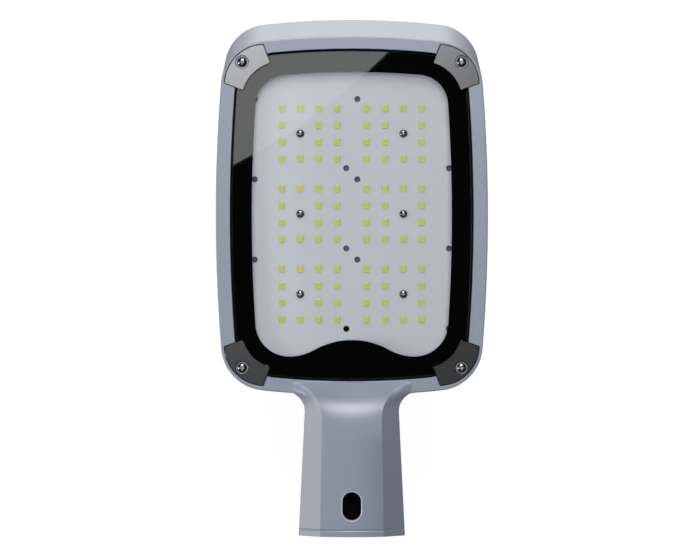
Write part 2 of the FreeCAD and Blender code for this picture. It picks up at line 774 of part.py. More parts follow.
def screwHoles():
    # Blind holes for the screws of the clips, the board and the driver.
    holes = []
    clipHead = size("rimLevel") + size("clipBoreDepth")
    driverHead = size("bayCeiling") - size("driverEarThickness")
    boardHead = size("boardFrontLevel")
    clipTip = clipHead + size("clipScrewLength") + size("clipTipRoom")
    boardTip = boardHead + size("boardScrewLength") + size("screwTipRoom")
    driverTip = driverHead + size("driverScrewLength") + size("screwTipRoom")
    clips = [(x, y) for x, y, turn in clipPlaces().values()]
    for kind, places, start, tip in (
        ("clip", clips, size("rimLevel"), clipTip),
        ("board", boardScrewPlaces(), size("floorLevel") - overrun, boardTip),
        ("driver", driverScrewPlaces(), size("bayCeiling") - overrun, driverTip),
    ):
        radius = size(kind + "ScrewRadius") + size("screwClearance")
        holes += [upright(radius, x, y, start, tip) for x, y in places]
    return holes


def socketCuts():
    # The pole socket, the cord's way to the driver and the drain.
    partition = -size("partitionY")
    thread = size("glandThreadRadius") + size("screwClearance")
    level = size("glandLevel")
    return [
        alongY(size("boreRadius"), -overrun, size("boreDepth")),
        alongY(size("glandPassageRadius"), size("boreDepth") - overrun, partition, level),
        alongY(thread, partition - overrun, -size("bayNeckY") + overrun, level),
        drainSlot(),
    ]


def housingShape():
    solid = headShell().fuse(neckSolid())
    top = size("neckHeight") / 2
    bossTop = top + size("poleBossHeight")
    for y in poleScrewPlaces():
        boss = upright(size("poleBossRadius"), 0, y, top - size("poleBossRoot"), bossTop)
        solid = solid.fuse(boss)
    below = size("rimLevel") - overrun
    cuts = [
        outlinePrism(pocketOutline, below, size("ledgeLevel")),
        outlinePrism(cavityOutline, size("ledgeLevel") - overrun, size("floorLevel")),
        driverBay(),
    ]
    cuts += socketCuts() + screwHoles() + finSlots()
    cuts += [clipRecess(x, y, turn) for x, y, turn in clipPlaces().values()]
    poleHole = size("poleScrewRadius") + size("screwClearance")
    cuts += [upright(poleHole, 0, y, 0, bossTop + overrun) for y in poleScrewPlaces()]
    return solid.cut(cuts).removeSplitter()


addNode(shapeFeature("Housing", housingShape()), "housing")


# Glass, its print and its gasket

def outlineBody(name, outlines, height, thickness):
    body = newBody(name, height)
    sketch = newSketch(body, name + "Outline")
    for curves in outlines:
        drawCurves(sketch, curves)
    padSketch(body, sketch, thickness, name + "Pad")
    return body


def glassBody():
    body = outlineBody(
        "Glass", [outlineCurves(glassOutline)], "Sizes.glassOuterLevel", "Sizes.glassThickness"
    )
    doc.recompute()
    plate = body.Tip
    bevel = body.newObject("PartDesign::Chamfer", "GroundEdge")
    bevel.Base = (plate, edgeNamesAt(plate.Shape, 0))
    bevel.setExpression("Size", "Sizes.glassBevel")
    return body


def windowCurves():
    nose = size("pocketNoseY") + size("windowNoseMargin")
    neck = size("pocketNeckY") - size("windowNeckMargin")
    side = size("sideBulgeRadius") - size("rimSideBorder")
    corner = size("windowNeckCorner")
    outline = Outline(
        size("windowHalfWidth"), nose, neck, size("windowNoseCorner"), corner, side,
        size("endBulgeRadius"),
    )
    noseCentre, noseSide, noseEnd = rightCorner(outline, True)
    noseArcCentre = Vector(0, nose + outline.endRadius, 0)
    sideCentre = Vector(outline.halfWidth - side, size("middleY"), 0)
    # The lobe's corner touches the side and the line of the lobe's lowest point.
    lobeY = neck - corner
    lobeX = sideCentre.x + math.sqrt((side - corner) ** 2 - (lobeY - size("middleY")) ** 2)
    lobeCentre = Vector(lobeX, lobeY, 0)
    lobeSide = sideCentre.add(lobeCentre.sub(sideCentre).normalize() * side)
    lobeFoot = Vector(lobeX, neck, 0)
    # The hump is a wide arc, tangent to the arc that leads down into each lobe.
    bump = size("bumpHeight")
    radii = (lobeX ** 2 + bump ** 2) / (2 * bump)
    lobeRadius = radii - size("bumpRadius")
    easeCentre = Vector(lobeX, neck - lobeRadius, 0)
    bumpCentre = Vector(0, neck - bump + size("bumpRadius"), 0)
    turning = easeCentre.add(bumpCentre.sub(easeCentre).normalize() * lobeRadius)
    return [
        arcBetween(noseArcCentre, flipped(noseEnd), noseEnd),
        arcBetween(noseCentre, noseEnd, noseSide),
        arcBetween(sideCentre, noseSide, lobeSide),
        arcBetween(lobeCentre, lobeSide, lobeFoot),
        arcBetween(easeCentre, lobeFoot, turning),
        arcBetween(bumpCentre, flipped(turning), turning),
        arcBetween(flipped(easeCentre), flipped(turning), flipped(lobeFoot)),
        arcBetween(flipped(lobeCentre), flipped(lobeFoot), flipped(lobeSide)),
        arcBetween(flipped(sideCentre), flipped(lobeSide), flipped(noseSide)),
        arcBetween(flipped(noseCentre), flipped(noseSide), flipped(noseEnd)),
    ]


addNode(glassBody(), "glass_pane")
addNode(
    outlineBody(
        "Border",
        [outlineCurves(inset(glassOutline, size("filmInset"))), windowCurves()],
        "Sizes.glassInnerLevel",
        "Sizes.filmThickness",
    ),
    "glass_border",
)
addNode(
    outlineBody(
        "Gasket",
        [
            outlineCurves(inset(pocketOutline, size("glassGap") + size("gasketGap"))),
            outlineCurves(inset(cavityOutline, -size("gasketGap"))),
        ],
        "Sizes.filmLevel",
        "Sizes.gasketThickness",
    ),
    "glass_gasket",
)


# Corner clips that hold the glass, and their screws

def clipBody(name, x, y, turn):
    body = newBody(name)
    body.Placement = Placement(Vector(x, y, size("rimLevel")), Rotation(Vector(0, 0, 1), turn))
    outline = newSketch(body, name + "Outline")
    drawCurves(outline, clipCurves())
    padSketch(body, outline, "Sizes.clipThickness", name + "Plate")
    bore = newSketch(body, name + "Bore")
    drawCircle(bore, "0", "0", "Sizes.clipBoreRadius")
    pocketSketch(body, bore, "Sizes.clipBoreDepth", name + "Counterbore", upward=True)
    hole = newSketch(body, name + "HoleCircle")
    drawCircle(hole, "0", "0", "Sizes.clipScrewRadius + Sizes.clipHoleClearance")
    pocketSketch(body, hole, "Sizes.clipThickness", name + "Hole", upward=True)
    doc.recompute()
    plate = body.Tip
    thickness = size("clipThickness")
    # The corners are the upright edges outside the counterbore.
    corners = [
        f"Edge{number}"
        for number, edge in enumerate(plate.Shape.Edges, start=1)
        if abs(edge.BoundBox.ZLength - thickness) < sameLevel
        and abs(edge.BoundBox.DiagonalLength - thickness) < sameLevel
        and math.hypot(edge.CenterOfMass.x, edge.CenterOfMass.y) > size("clipBoreRadius") * 1.02
    ]
    rounding = body.newObject("PartDesign::Fillet", name + "Corners")
    rounding.Base = (plate, corners)
    rounding.setExpression("Radius", "Sizes.clipCornerRadius")
    return body


# Under its lip, each clip is cut back to the shape of the glass with a little room.
glassRoom = shapeFeature(
    "GlassRoom",
    outlinePrism(
        inset(glassOutline, -size("clipGap")),
        size("glassOuterLevel"),
        size("clipSeatLevel") + overrun,
    ),
)
for label, (x, y, turn) in clipPlaces().items():
    relieved = doc.addObject("Part::Cut", label + "Relief")
    relieved.Base = clipBody(label + "Body", x, y, turn)
    relieved.Tool = glassRoom
    addNode(relieved, label)


def screwBody(name, kind):
    # A pan head screw with a cross recess, its head pointing down and z = 0 under the head.
    radius = f"Sizes.{kind}ScrewRadius"
    length = f"Sizes.{kind}ScrewLength"
    headRadius = f"Sizes.{kind}HeadRadius"
    headHeight = f"Sizes.{kind}HeadHeight"
    body = revolvedBody(
        name,
        [
            ("0", f"-{headHeight}"),
            (f"{headRadius} * Sizes.panFlat", f"-{headHeight}"),
            (f"{headRadius} * (1 + Sizes.panFlat) / 2", f"-{headHeight} * Sizes.panShoulder"),
            (headRadius, f"-{headHeight} * Sizes.panEdge"),
            (headRadius, "0"),
            (radius, "0"),
            (radius, f"{length} - {radius} / 2"),
            (f"{radius} / 2", length),
            ("0", length),
        ],
    )
    cross = newSketch(body, name + "Cross", level=f"-{headHeight}")
    arm = f"{headRadius} * Sizes.crossSpan"
    half = f"{headRadius} * Sizes.crossWidth"
    drawPolygon(cross, orderedCross(arm, half))
    pocketSketch(body, cross, f"{headHeight} * Sizes.crossDepth", name + "Recess", upward=True)
    return body


def orderedCross(arm, half):
    quarter = [(arm, "-" + half), (arm, half), (half, half)]
    corners = []
    for turn in range(4):
        for across, along in quarter:
            corners.append((across, along))
        quarter = [(opposite(along), across) for across, along in quarter]
    return corners


def opposite(expression):
    return expression[1:] if expression.startswith("-") else "-" + expression


clipScrew = screwBody("ClipScrew", "clip")
boardScrew = screwBody("BoardScrew", "board")
driverScrew = screwBody("DriverScrew", "driver")
doc.recompute()

clipHeadLevel = size("rimLevel") + size("clipBoreDepth")
addNode(
    shapeFeature(
        "ClipScrews",
        copiesAt(
            clipScrew,
            [
                Placement(Vector(x, y, clipHeadLevel), Rotation(Vector(0, 0, 1), turn))
                for x, y, turn in clipPlaces().values()
            ],
        ),
    ),
    "clip_screws",
)


# LED board on its thermal pad

def circleAt(x, y, radius):
    return Part.Circle(Vector(x, y, 0), Vector(0, 0, 1), radius)


def boardHolePlaces():
    near = size("holeNearX")
    far = size("holeFarX")
    offset = size("holeOffset")
    return [
        (x, y + dy)
        for y in groupCentres()
        for x, dy in ((near, -offset), (-near, offset), (-far, -offset), (far, offset))
    ]


def boardCurves():
    curves = outlineCurves(inset(cavityOutline, size("boardGap")))
    curves += [circleAt(x, y, size("boardHoleRadius")) for x, y in boardHolePlaces()]
    radius = size("boardScrewRadius") + size("boardScrewRoom")
    curves += [circleAt(x, y, radius) for x, y in boardScrewPlaces()]
    return curves


def padCurves():
    outline = inset(cavityOutline, size("padSideMargin"))._replace(
        noseY=cavityOutline.noseY + size("padEndMargin"),
        neckY=size("bayNoseY") - size("padEndMargin"),
        neckCorner=size("padCorner"),
    )
    radius = size("boardScrewRadius") + size("boardScrewRoom")
    return outlineCurves(outline) + [circleAt(x, y, radius) for x, y in boardScrewPlaces()]


addNode(
    outlineBody("Board", [boardCurves()], "Sizes.boardFrontLevel", "Sizes.boardThickness"),
    "led_board",
)
addNode(
    outlineBody("Pad", [padCurves()], "Sizes.boardBackLevel", "Sizes.padThickness"),
    "thermal_pad",
)


def rectangle(width, length):
    return [
        (f"-{width} / 2", f"-{length} / 2"),
        (f"{width} / 2", f"-{length} / 2"),
        (f"{width} / 2", f"{length} / 2"),
        (f"-{width} / 2", f"{length} / 2"),
    ]


def ledBody():
    # The package lies on its back, and its well opens downwards.
    body = newBody("Led")
    outline = newSketch(body, "LedOutline")
    drawPolygon(outline, rectangle("Sizes.ledWidth", "Sizes.ledLength"))
    padSketch(body, outline, "Sizes.ledHeight", "LedPad")
    well = newSketch(body, "LedWell")
    drawPolygon(well, rectangle("Sizes.phosphorWidth", "Sizes.phosphorLength"))
    pocketSketch(body, well, "Sizes.phosphorDepth", "LedPocket", upward=True)
    return body


def phosphorBody():
    body = newBody("Phosphor")
    outline = newSketch(body, "PhosphorOutline")
    drawPolygon(outline, rectangle("Sizes.phosphorWidth", "Sizes.phosphorLength"))
    padSketch(body, outline, "Sizes.phosphorDepth", "PhosphorPad")
    return body


def ledPlaces():
    # The middle two rows leave out the columns where the board screws are.
    level = size("boardFrontLevel") - size("ledHeight")
    columns = ledColumnsX()
    rows = count("ledRows")
    places = []
    for centre in groupCentres():
        for row in range(rows):
            y = centre + (row - (rows - 1) / 2) * size("ledRowPitch")
            for column, x in enumerate(columns):
                besideScrew = column in (1, len(columns) - 2) and 0 < row < rows - 1
                if not besideScrew:
                    places.append(Placement(Vector(x, y, level), Rotation()))
    return places


ledMaster = ledBody()
phosphorMaster = phosphorBody()
doc.recompute()
addNode(shapeFeature("Leds", copiesAt(ledMaster, ledPlaces())), "led_packages")
addNode(shapeFeature("Phosphors", copiesAt(phosphorMaster, ledPlaces())), "led_phosphors")
addNode(
    shapeFeature(
        "BoardScrews",
        copiesAt(
            boardScrew,
            [
                Placement(Vector(x, y, size("boardFrontLevel")), Rotation())
                for x, y in boardScrewPlaces()
            ],
        ),
    ),
    "board_screws",
)


# Driver, terminal block and leads in the bay behind the board

def driverBody():
    body = newBody("Driver")
    case = newSketch(body, "DriverOutline", level="Sizes.bayCeiling")
    left = "-Sizes.driverOffset - Sizes.driverWidth / 2"
    right = "-Sizes.driverOffset + Sizes.driverWidth / 2"
    nose = "Sizes.driverNoseY"
    neck = "Sizes.driverNoseY + Sizes.driverLength"
    drawPolygon(case, [(left, nose), (right, nose), (right, neck), (left, neck)])
    padSketch(body, case, "Sizes.driverHeight", "DriverCase", downward=True)
    doc.recompute()
    bottom = size("bayCeiling") - size("driverHeight")
    plain = body.Tip
    rounded = body.newObject("PartDesign::Fillet", "DriverEdges")
    rounded.Base = (plain, edgeNamesAt(plain.Shape, bottom))
    rounded.setExpression("Radius", "Sizes.driverEdgeRadius")
    ears = newSketch(body, "DriverEarOutline", level="Sizes.bayCeiling")
    leftTip = left + " - Sizes.driverEar"
    rightTip = right + " + Sizes.driverEar"
    inner = "Sizes.driverNoseY + Sizes.driverLength * (1 - Sizes.driverEarShare) / 2"
    outer = "Sizes.driverNoseY + Sizes.driverLength * (1 + Sizes.driverEarShare) / 2"
    drawPolygon(ears, [(leftTip, inner), (rightTip, inner), (rightTip, outer), (leftTip, outer)])
    padSketch(body, ears, "Sizes.driverEarThickness", "DriverEars", downward=True)
    holes = newSketch(body, "DriverHoles", level="Sizes.bayCeiling")
    for way in ("-", ""):
        drawCircle(
            holes,
            f"-Sizes.driverOffset + {way}(Sizes.driverWidth / 2 + Sizes.driverEar / 2)",
            "Sizes.driverNoseY + Sizes.driverLength / 2",
            "Sizes.driverScrewRadius + Sizes.boardScrewRoom",
        )
    pocketSketch(body, holes, "Sizes.driverEarThickness", "DriverEarHoles")
    return body


def terminalBody():
    body = newBody("Terminal")
    outline = newSketch(body, "TerminalOutline", level="Sizes.bayCeiling")
    right = "Sizes.terminalLeftX + Sizes.terminalWidth"
    middle = "(Sizes.bayNoseY + Sizes.bayNeckY) / 2"
    drawPolygon(
        outline,
        [
            ("Sizes.terminalLeftX", f"{middle} - Sizes.terminalLength / 2"),
            (right, f"{middle} - Sizes.terminalLength / 2"),
            (right, f"{middle} + Sizes.terminalLength / 2"),
            ("Sizes.terminalLeftX", f"{middle} + Sizes.terminalLength / 2"),
        ],
    )
    padSketch(body, outline, "Sizes.terminalHeight", "TerminalBlock", downward=True)
    wells = newSketch(body, "TerminalWells", level="Sizes.bayCeiling - Sizes.terminalHeight")
    for x, y in terminalPlaces():
        drawCurves(wells, [circleAt(x, y, size("terminalHoleRadius"))])
    depth = "Sizes.terminalHeight * Sizes.terminalWellShare"
    pocketSketch(body, wells, depth, "TerminalScrewWells", upward=True)
    return body


def terminalPlaces():
    middle = (size("bayNoseY") + size("bayNeckY")) / 2
    ways = count("terminalWays")
    x = size("terminalLeftX") + size("terminalWidth") / 2
    pitch = size("terminalLength") / ways
    return [(x, middle + (way - (ways - 1) / 2) * pitch) for way in range(ways)]


def leadAlong(points, bend, radius):
    # A round lead along straight runs joined by arcs of one radius.
    edges = []
    start = points[0]
    for before, corner, after in zip(points, points[1:], points[2:]):
        backwards = before.sub(corner).normalize()
        forwards = after.sub(corner).normalize()
        half = backwards.getAngle(forwards) / 2
        reach = bend / math.tan(half)
        first = corner.add(backwards * reach)
        last = corner.add(forwards * reach)
        middle = backwards.add(forwards).normalize()
        through = corner.add(middle * (bend / math.sin(half) - bend))
        edges.append(Part.makeLine(start, first))
        edges.append(Part.Arc(first, through, last).toShape())
        start = last
    edges.append(Part.makeLine(start, points[-1]))
    circle = Part.makeCircle(radius, points[0], points[1].sub(points[0]))
    return Part.Wire(edges).makePipeShell([Part.Wire([circle])], True, True)


addNode(driverBody(), "led_driver")
addNode(
    shapeFeature(
        "DriverScrews",
        copiesAt(
            driverScrew,
            [
                Placement(
                    Vector(x, y, size("bayCeiling") - size("driverEarThickness")), Rotation()
                )
                for x, y in driverScrewPlaces()
            ],
        ),
    ),
    "driver_screws",
)
addNode(terminalBody(), "terminal_block")


def terminalScrews():
    top = size("bayCeiling") - size("terminalHeight") * (1 - size("terminalWellShare"))
    return Part.makeCompound(
        [
            upright(size("terminalScrewRadius"), x, y, top - size("terminalScrewLength"), top)
            for x, y in terminalPlaces()
        ]
    )


addNode(shapeFeature("TerminalScrews", terminalScrews()), "terminal_screws")


def supplyLead(index):
    x, y = terminalPlaces()[index]
    level = size("bayCeiling") - size("terminalHeight") * size("terminalLeadShare")
    end = -size("driverOffset") + size("driverWidth") / 2
    return Part.makeCylinder(
        size("leadRadius"), size("terminalLeftX") - end, Vector(end, y, level), Vector(1, 0, 0)
    )


def connectorBody():
    body = newBody("Connector")
    outline = newSketch(body, "ConnectorOutline", level="Sizes.floorLevel - Sizes.padThickness")
    left = "-Sizes.connectorX - Sizes.connectorWidth / 2"
    right = "-Sizes.connectorX + Sizes.connectorWidth / 2"
    neck = "Sizes.bayNeckY - Sizes.connectorGap"
    nose = neck + " - Sizes.connectorLength"
    drawPolygon(outline, [(left, nose), (right, nose), (right, neck), (left, neck)])
    padSketch(body, outline, "Sizes.connectorHeight", "ConnectorBlock")
    return body


def outputLead(way):
    # From the driver's neck side, over and down into the connector.
    x = -size("connectorX") + way * size("connectorWidth") / 4
    level = size("bayCeiling") - size("driverHeight") / 2
    start = size("driverNoseY") + size("driverLength")
    end = size("bayNeckY") - size("connectorGap") - size("connectorLength") / 2
    foot = size("boardBackLevel") + size("connectorHeight")
    points = [Vector(x, start, level), Vector(x, end, level), Vector(x, end, foot)]
    return leadAlong(points, size("leadBend"), size("leadRadius"))


addNode(connectorBody(), "board_connector")
addNode(shapeFeature("LeadLive", supplyLead(0)), "lead_live")
addNode(shapeFeature("LeadNeutral", supplyLead(1)), "lead_neutral")
addNode(shapeFeature("LeadPositive", outputLead(-1)), "lead_positive")
addNode(shapeFeature("LeadNegative", outputLead(1)), "lead_negative")


# Cable gland in the partition between the socket and the driver bay

def hexagon(flats):
    return [(f"{flats} / sqrt(3) * cos({60 * turn})", f"{flats} / sqrt(3) * sin({60 * turn})")
            for turn in range(6)]


def glandPlacement(body):
    # The gland is drawn upright, with z = 0 at the partition, and laid along +Y.
    body.Placement = Placement(
        Vector(0, size("partitionY"), size("glandLevel")), Rotation(Vector(1, 0, 0), -90)
    )
    return body


def glandBody():
    inside = "Sizes.glandWall + Sizes.glandNutThickness + Sizes.glandStub"
    neck = "Sizes.glandHexLength + Sizes.glandNeckLength"
    seat = f"{neck} - Sizes.glandSealLength"
    throat = "Sizes.glandCordRadius + Sizes.glandThroatRoom"
    body = revolvedBody(
        "Gland",
        [
            (throat, f"-({inside})"),
            ("Sizes.glandThreadRadius", f"-({inside})"),
            ("Sizes.glandThreadRadius", neck),
            ("Sizes.glandSealRadius", neck),
            ("Sizes.glandSealRadius", seat),
            (throat, seat),
        ],
    )
    sketch = newSketch(body, "GlandHex")
    drawPolygon(sketch, hexagon("Sizes.glandFlats"))
    drawCircle(sketch, "0", "0", throat)
    padSketch(body, sketch, "Sizes.glandHexLength", "GlandHexPad")
    return glandPlacement(body)


def glandCapBody():
    bottom = "Sizes.glandHexLength + Sizes.glandCapGap"
    top = f"{bottom} + Sizes.glandCapLength"
    inner = "Sizes.glandHexLength + Sizes.glandNeckLength + Sizes.glandCapGap"
    outer = "Sizes.glandFlats / 2"
    mouth = "Sizes.glandCordRadius + Sizes.glandThroatRoom"
    bore = "Sizes.glandThreadRadius + Sizes.screwClearance"
    body = revolvedBody(
        "GlandCap",
        [
            (bore, bottom),
            (outer, bottom),
            (outer, f"{top} - Sizes.glandDome"),
            (f"{outer} - Sizes.glandDome / 3", f"{top} - Sizes.glandDome / 3"),
            (f"{outer} - Sizes.glandDome", top),
            (mouth, top),
            (mouth, inner),
            (bore, inner),
        ],
    )
    return glandPlacement(body)


def glandNutBody():
    body = newBody("GlandNut")
    sketch = newSketch(body, "GlandNutOutline", level="-Sizes.glandWall")
    drawPolygon(sketch, hexagon("Sizes.glandNutFlats"))
    drawCircle(sketch, "0", "0", "Sizes.glandThreadRadius + Sizes.screwClearance")
    padSketch(body, sketch, "Sizes.glandNutThickness", "GlandNutPad", downward=True)
    return glandPlacement(body)


def glandSealBody():
    neck = "Sizes.glandHexLength + Sizes.glandNeckLength"
    seat = f"{neck} - Sizes.glandSealLength"
    body = revolvedBody(
        "GlandSeal",
        [
            ("Sizes.glandCordRadius", seat),
            ("Sizes.glandSealRadius", seat),
            ("Sizes.glandSealRadius", neck),
            ("Sizes.glandCordRadius", neck),
        ],
    )
    return glandPlacement(body)


addNode(glandBody(), "gland_body")
addNode(glandCapBody(), "gland_cap")
addNode(glandNutBody(), "gland_nut")
addNode(glandSealBody(), "gland_seal")


# Screws that clamp the pole, on the sky side of the neck

def poleScrewBody():
    body = newBody("PoleScrew")
    head = newSketch(body, "PoleScrewHead")
    drawPolygon(head, hexagon("Sizes.poleScrewFlats"))
    padSketch(body, head, "Sizes.poleHeadHeight", "PoleScrewHeadPad")
    shank = newSketch(body, "PoleScrewShank")
    drawCircle(shank, "0", "0", "Sizes.poleScrewRadius")
    padSketch(body, shank, "Sizes.poleScrewLength", "PoleScrewShankPad", downward=True)
    return body


poleScrew = poleScrewBody()
doc.recompute()
poleHeadLevel = size("boreRadius") + size("poleScrewBack") + size("poleScrewLength")
addNode(
    shapeFeature(
        "PoleScrews",
        copiesAt(
            poleScrew,
            [Placement(Vector(0, y, poleHeadLevel), Rotation()) for y in poleScrewPlaces()],
        ),
    ),
    "pole_screws",
)


doc.recompute()
for thing in doc.Objects:
    if "Invalid" in thing.State or "Error" in thing.State:
        raise RuntimeError(f"{thing.Label} failed: {thing.State}")
for node in nodes:
    if node.Shape.isNull() or not node.Shape.isValid():
        raise RuntimeError(f"{node.Label} has no valid shape")
    node.Shape.exportStep(f"parts/{node.Label}.step")
    print(node.Label, len(node.Shape.Solids), round(node.Shape.Volume / 1000, 2), "cm3")
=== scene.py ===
import math

import bpy
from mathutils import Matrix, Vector


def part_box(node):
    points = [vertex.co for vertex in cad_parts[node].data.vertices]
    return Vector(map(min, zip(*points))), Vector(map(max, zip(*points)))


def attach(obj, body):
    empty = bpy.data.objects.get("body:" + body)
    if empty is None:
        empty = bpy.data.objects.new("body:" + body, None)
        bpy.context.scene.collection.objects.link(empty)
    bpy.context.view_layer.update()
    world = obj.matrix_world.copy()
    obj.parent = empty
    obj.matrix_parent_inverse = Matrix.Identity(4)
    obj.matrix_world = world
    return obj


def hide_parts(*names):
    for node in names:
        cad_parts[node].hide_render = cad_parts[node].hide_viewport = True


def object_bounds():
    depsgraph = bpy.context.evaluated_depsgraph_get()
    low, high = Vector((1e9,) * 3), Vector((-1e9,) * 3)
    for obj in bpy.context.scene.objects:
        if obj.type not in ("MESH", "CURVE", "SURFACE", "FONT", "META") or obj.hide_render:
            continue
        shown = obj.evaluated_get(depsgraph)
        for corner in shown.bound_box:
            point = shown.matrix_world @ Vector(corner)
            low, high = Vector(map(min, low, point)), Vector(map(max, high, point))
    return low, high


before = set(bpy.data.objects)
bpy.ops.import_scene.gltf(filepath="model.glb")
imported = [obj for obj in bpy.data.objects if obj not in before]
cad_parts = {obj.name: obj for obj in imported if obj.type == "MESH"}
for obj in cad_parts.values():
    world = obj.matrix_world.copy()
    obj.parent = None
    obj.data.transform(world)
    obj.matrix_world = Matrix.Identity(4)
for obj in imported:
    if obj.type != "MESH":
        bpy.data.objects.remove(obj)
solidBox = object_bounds()

# The head lies with its glass towards -Z, its nose towards -Y and its pole socket towards +Y.
# Finishes and the stage are in metres, and what is modelled by hand is in millimetres.
millimetre = 0.001
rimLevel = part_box("clip_nose_left")[0].z
glassLow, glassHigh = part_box("glass_pane")
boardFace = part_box("led_board")[0].z / millimetre
middle = Vector((0, (glassLow.y + glassHigh.y) / 2, 0))


# Shader values that take part in ordinary arithmetic

surroundingSamples = 6


class Signal:
    def __init__(self, finish, socket):
        self.finish = finish
        self.socket = socket

    def calculate(self, operation, *values):
        return self.finish.add(
            "ShaderNodeMath", {"operation": operation}, dict(enumerate(values))
        )

    def __add__(self, other):
        return self.calculate("ADD", self, other)

    def __radd__(self, other):
        return self.calculate("ADD", other, self)

    def __sub__(self, other):
        return self.calculate("SUBTRACT", self, other)

    def __rsub__(self, other):
        return self.calculate("SUBTRACT", other, self)

    def __mul__(self, other):
        return self.calculate("MULTIPLY", self, other)

    def __rmul__(self, other):
        return self.calculate("MULTIPLY", other, self)

    def __gt__(self, other):
        return self.calculate("GREATER_THAN", self, other)

    def __lt__(self, other):
        return self.calculate("LESS_THAN", self, other)

    def atLeast(self, other):
        return self.calculate("MAXIMUM", self, other)

    def atMost(self, other):
        return self.calculate("MINIMUM", self, other)

    def size(self):
        return self.calculate("ABSOLUTE", self)

    def root(self):
        return self.calculate("SQRT", self)

    def kept(self):
        # Held between 0 and 1.
        return self.atLeast(0.0).atMost(1.0)

    def eased(self, start, end):
        # Climbs smoothly from 0 at the start to 1 at the end.
        return self.finish.add(
            "ShaderNodeMapRange",
            {"interpolation_type": "SMOOTHSTEP"},
            {"Value": self, "From Min": start, "From Max": end},
        )


class Finish:
    # One node material, or the world, with its nodes added by a single method.
    def __init__(self, owner):
        owner.use_nodes = True
        self.owner = owner
        self.tree = owner.node_tree
        self.tree.nodes.clear()

    def add(self, kind, settings=None, sockets=None, output=0):
        node = self.tree.nodes.new(kind)
        for setting, value in (settings or {}).items():
            setattr(node, setting, value)
        for name, value in (sockets or {}).items():
            if isinstance(value, Signal):
                self.tree.links.new(value.socket, node.inputs[name])
            else:
                node.inputs[name].default_value = value
        return Signal(self, node.outputs[output]) if node.outputs else None

    def place(self):
        return self.add("ShaderNodeTexCoord", output="Object")

    def along(self, axis):
        return self.add("ShaderNodeSeparateXYZ", sockets={"Vector": self.place()}, output=axis)

    def noise(self, scale, detail=2.0):
        return self.add(
            "ShaderNodeTexNoise",
            sockets={"Vector": self.place(), "Scale": scale, "Detail": detail},
        )

    def tint(self, share, first, second):
        # Colour between two colours, or between what two signals give.
        first = first if isinstance(first, Signal) else (*first, 1)
        second = second if isinstance(second, Signal) else (*second, 1)
        return self.add(
            "ShaderNodeMix",
            {"data_type": "RGBA"},
            {"Factor": share, "A": first, "B": second},
            output="Result",
        )

    def rounded(self, radius):
        return self.add(
            "ShaderNodeBevel", {"samples": surroundingSamples}, {"Radius": radius}
        )

    def flatNormal(self):
        return self.add("ShaderNodeNewGeometry", output="Normal")

    def edging(self, radius):
        # Above 0 within the radius of a sharp edge.
        agreement = self.add(
            "ShaderNodeVectorMath",
            {"operation": "DOT_PRODUCT"},
            {0: self.rounded(radius), 1: self.flatNormal()},
            output="Value",
        )
        return 1.0 - agreement

    def openness(self, distance):
        # 1 out in the open, less in gaps and corners.
        return self.add(
            "ShaderNodeAmbientOcclusion",
            {"samples": surroundingSamples},
            {"Distance": distance},
            output="AO",
        )

    def bumped(self, height, distance, strength=1.0, normal=None):
        sockets = {"Height": height, "Distance": distance, "Strength": strength}
        if normal is not None:
            sockets["Normal"] = normal
        return self.add("ShaderNodeBump", sockets=sockets)

    def surface(self, **sockets):
        named = {key.replace("_", " "): value for key, value in sockets.items()}
        return self.add("ShaderNodeBsdfPrincipled", sockets=named)

    def show(self, shader, target="Material"):
        self.add(f"ShaderNodeOutput{target}", sockets={"Surface": shader})
        return self.owner


def material(name):
    return Finish(bpy.data.materials.new(name))


def mixed(finish, share, first, second):
    return finish.add("ShaderNodeMixShader", sockets={0: share, 1: first, 2: second})


# Finishes

# The ramp from the rim to the neck, between two creases that spread towards the rim. The lean is
# how far the surface seems turned, in radians for each metre from the middle line.
ramp = {
    "start": -108.0 * millimetre,
    "end": -62.0 * millimetre,
    "fade": 14.0 * millimetre,
    "halfWidth": 20.5 * millimetre,
    "flareStart": -80.0 * millimetre,
    "flareEnd": -106.0 * millimetre,
    "flare": 15.0 * millimetre,
    "lean": 13.0,
    "roughness": 0.045,
}


def onRamp(paint):
    # 1 on the ramp, fading at its two ends.
    across, along = paint.along("X"), paint.along("Y")
    begun = along.eased(ramp["start"], ramp["start"] + ramp["fade"])
    ended = along.eased(ramp["end"] - ramp["fade"], ramp["end"])
    flare = along.eased(ramp["flareStart"], ramp["flareEnd"]) * ramp["flare"]
    between = across.size() < flare + ramp["halfWidth"]
    return begun * (1.0 - ended) * between * (paint.along("Z") < 0.0)


def hollowed(paint, normal):
    # Turns the ramp's surface towards its middle line, as in a shallow bowl.
    aside = paint.along("X").atMost(ramp["halfWidth"]).atLeast(-ramp["halfWidth"])
    lean = onRamp(paint) * aside * -ramp["lean"]
    turn = paint.add("ShaderNodeCombineXYZ", sockets={"X": lean})
    leant = paint.add("ShaderNodeVectorMath", sockets={0: normal, 1: turn})
    return paint.add("ShaderNodeVectorMath", {"operation": "NORMALIZE"}, {0: leant})


drainSlot = {
    "middle": -21.1 * millimetre,
    "radius": 6.4 * millimetre,
    "halfStraight": 3.25 * millimetre,
    "edge": 0.9 * millimetre,
    "slotHighlightColour": (0.40, 0.43, 0.49),
    "neckFront": -30.0 * millimetre,
}


def slotHighlight(paint):
    # 1 on a band round the drain slot, on the glass side of the neck, which is painted lighter as
    # a highlight on the slot's edge.
    across = paint.along("X")
    along = (paint.along("Y") - drainSlot["middle"]).size()
    past = (along - drainSlot["halfStraight"]).atLeast(0.0)
    reach = (across * across + past * past).root() - drainSlot["radius"]
    inFront = paint.along("Z") < drainSlot["neckFront"]
    return (reach > 0.0) * (reach < drainSlot["edge"]) * inFront


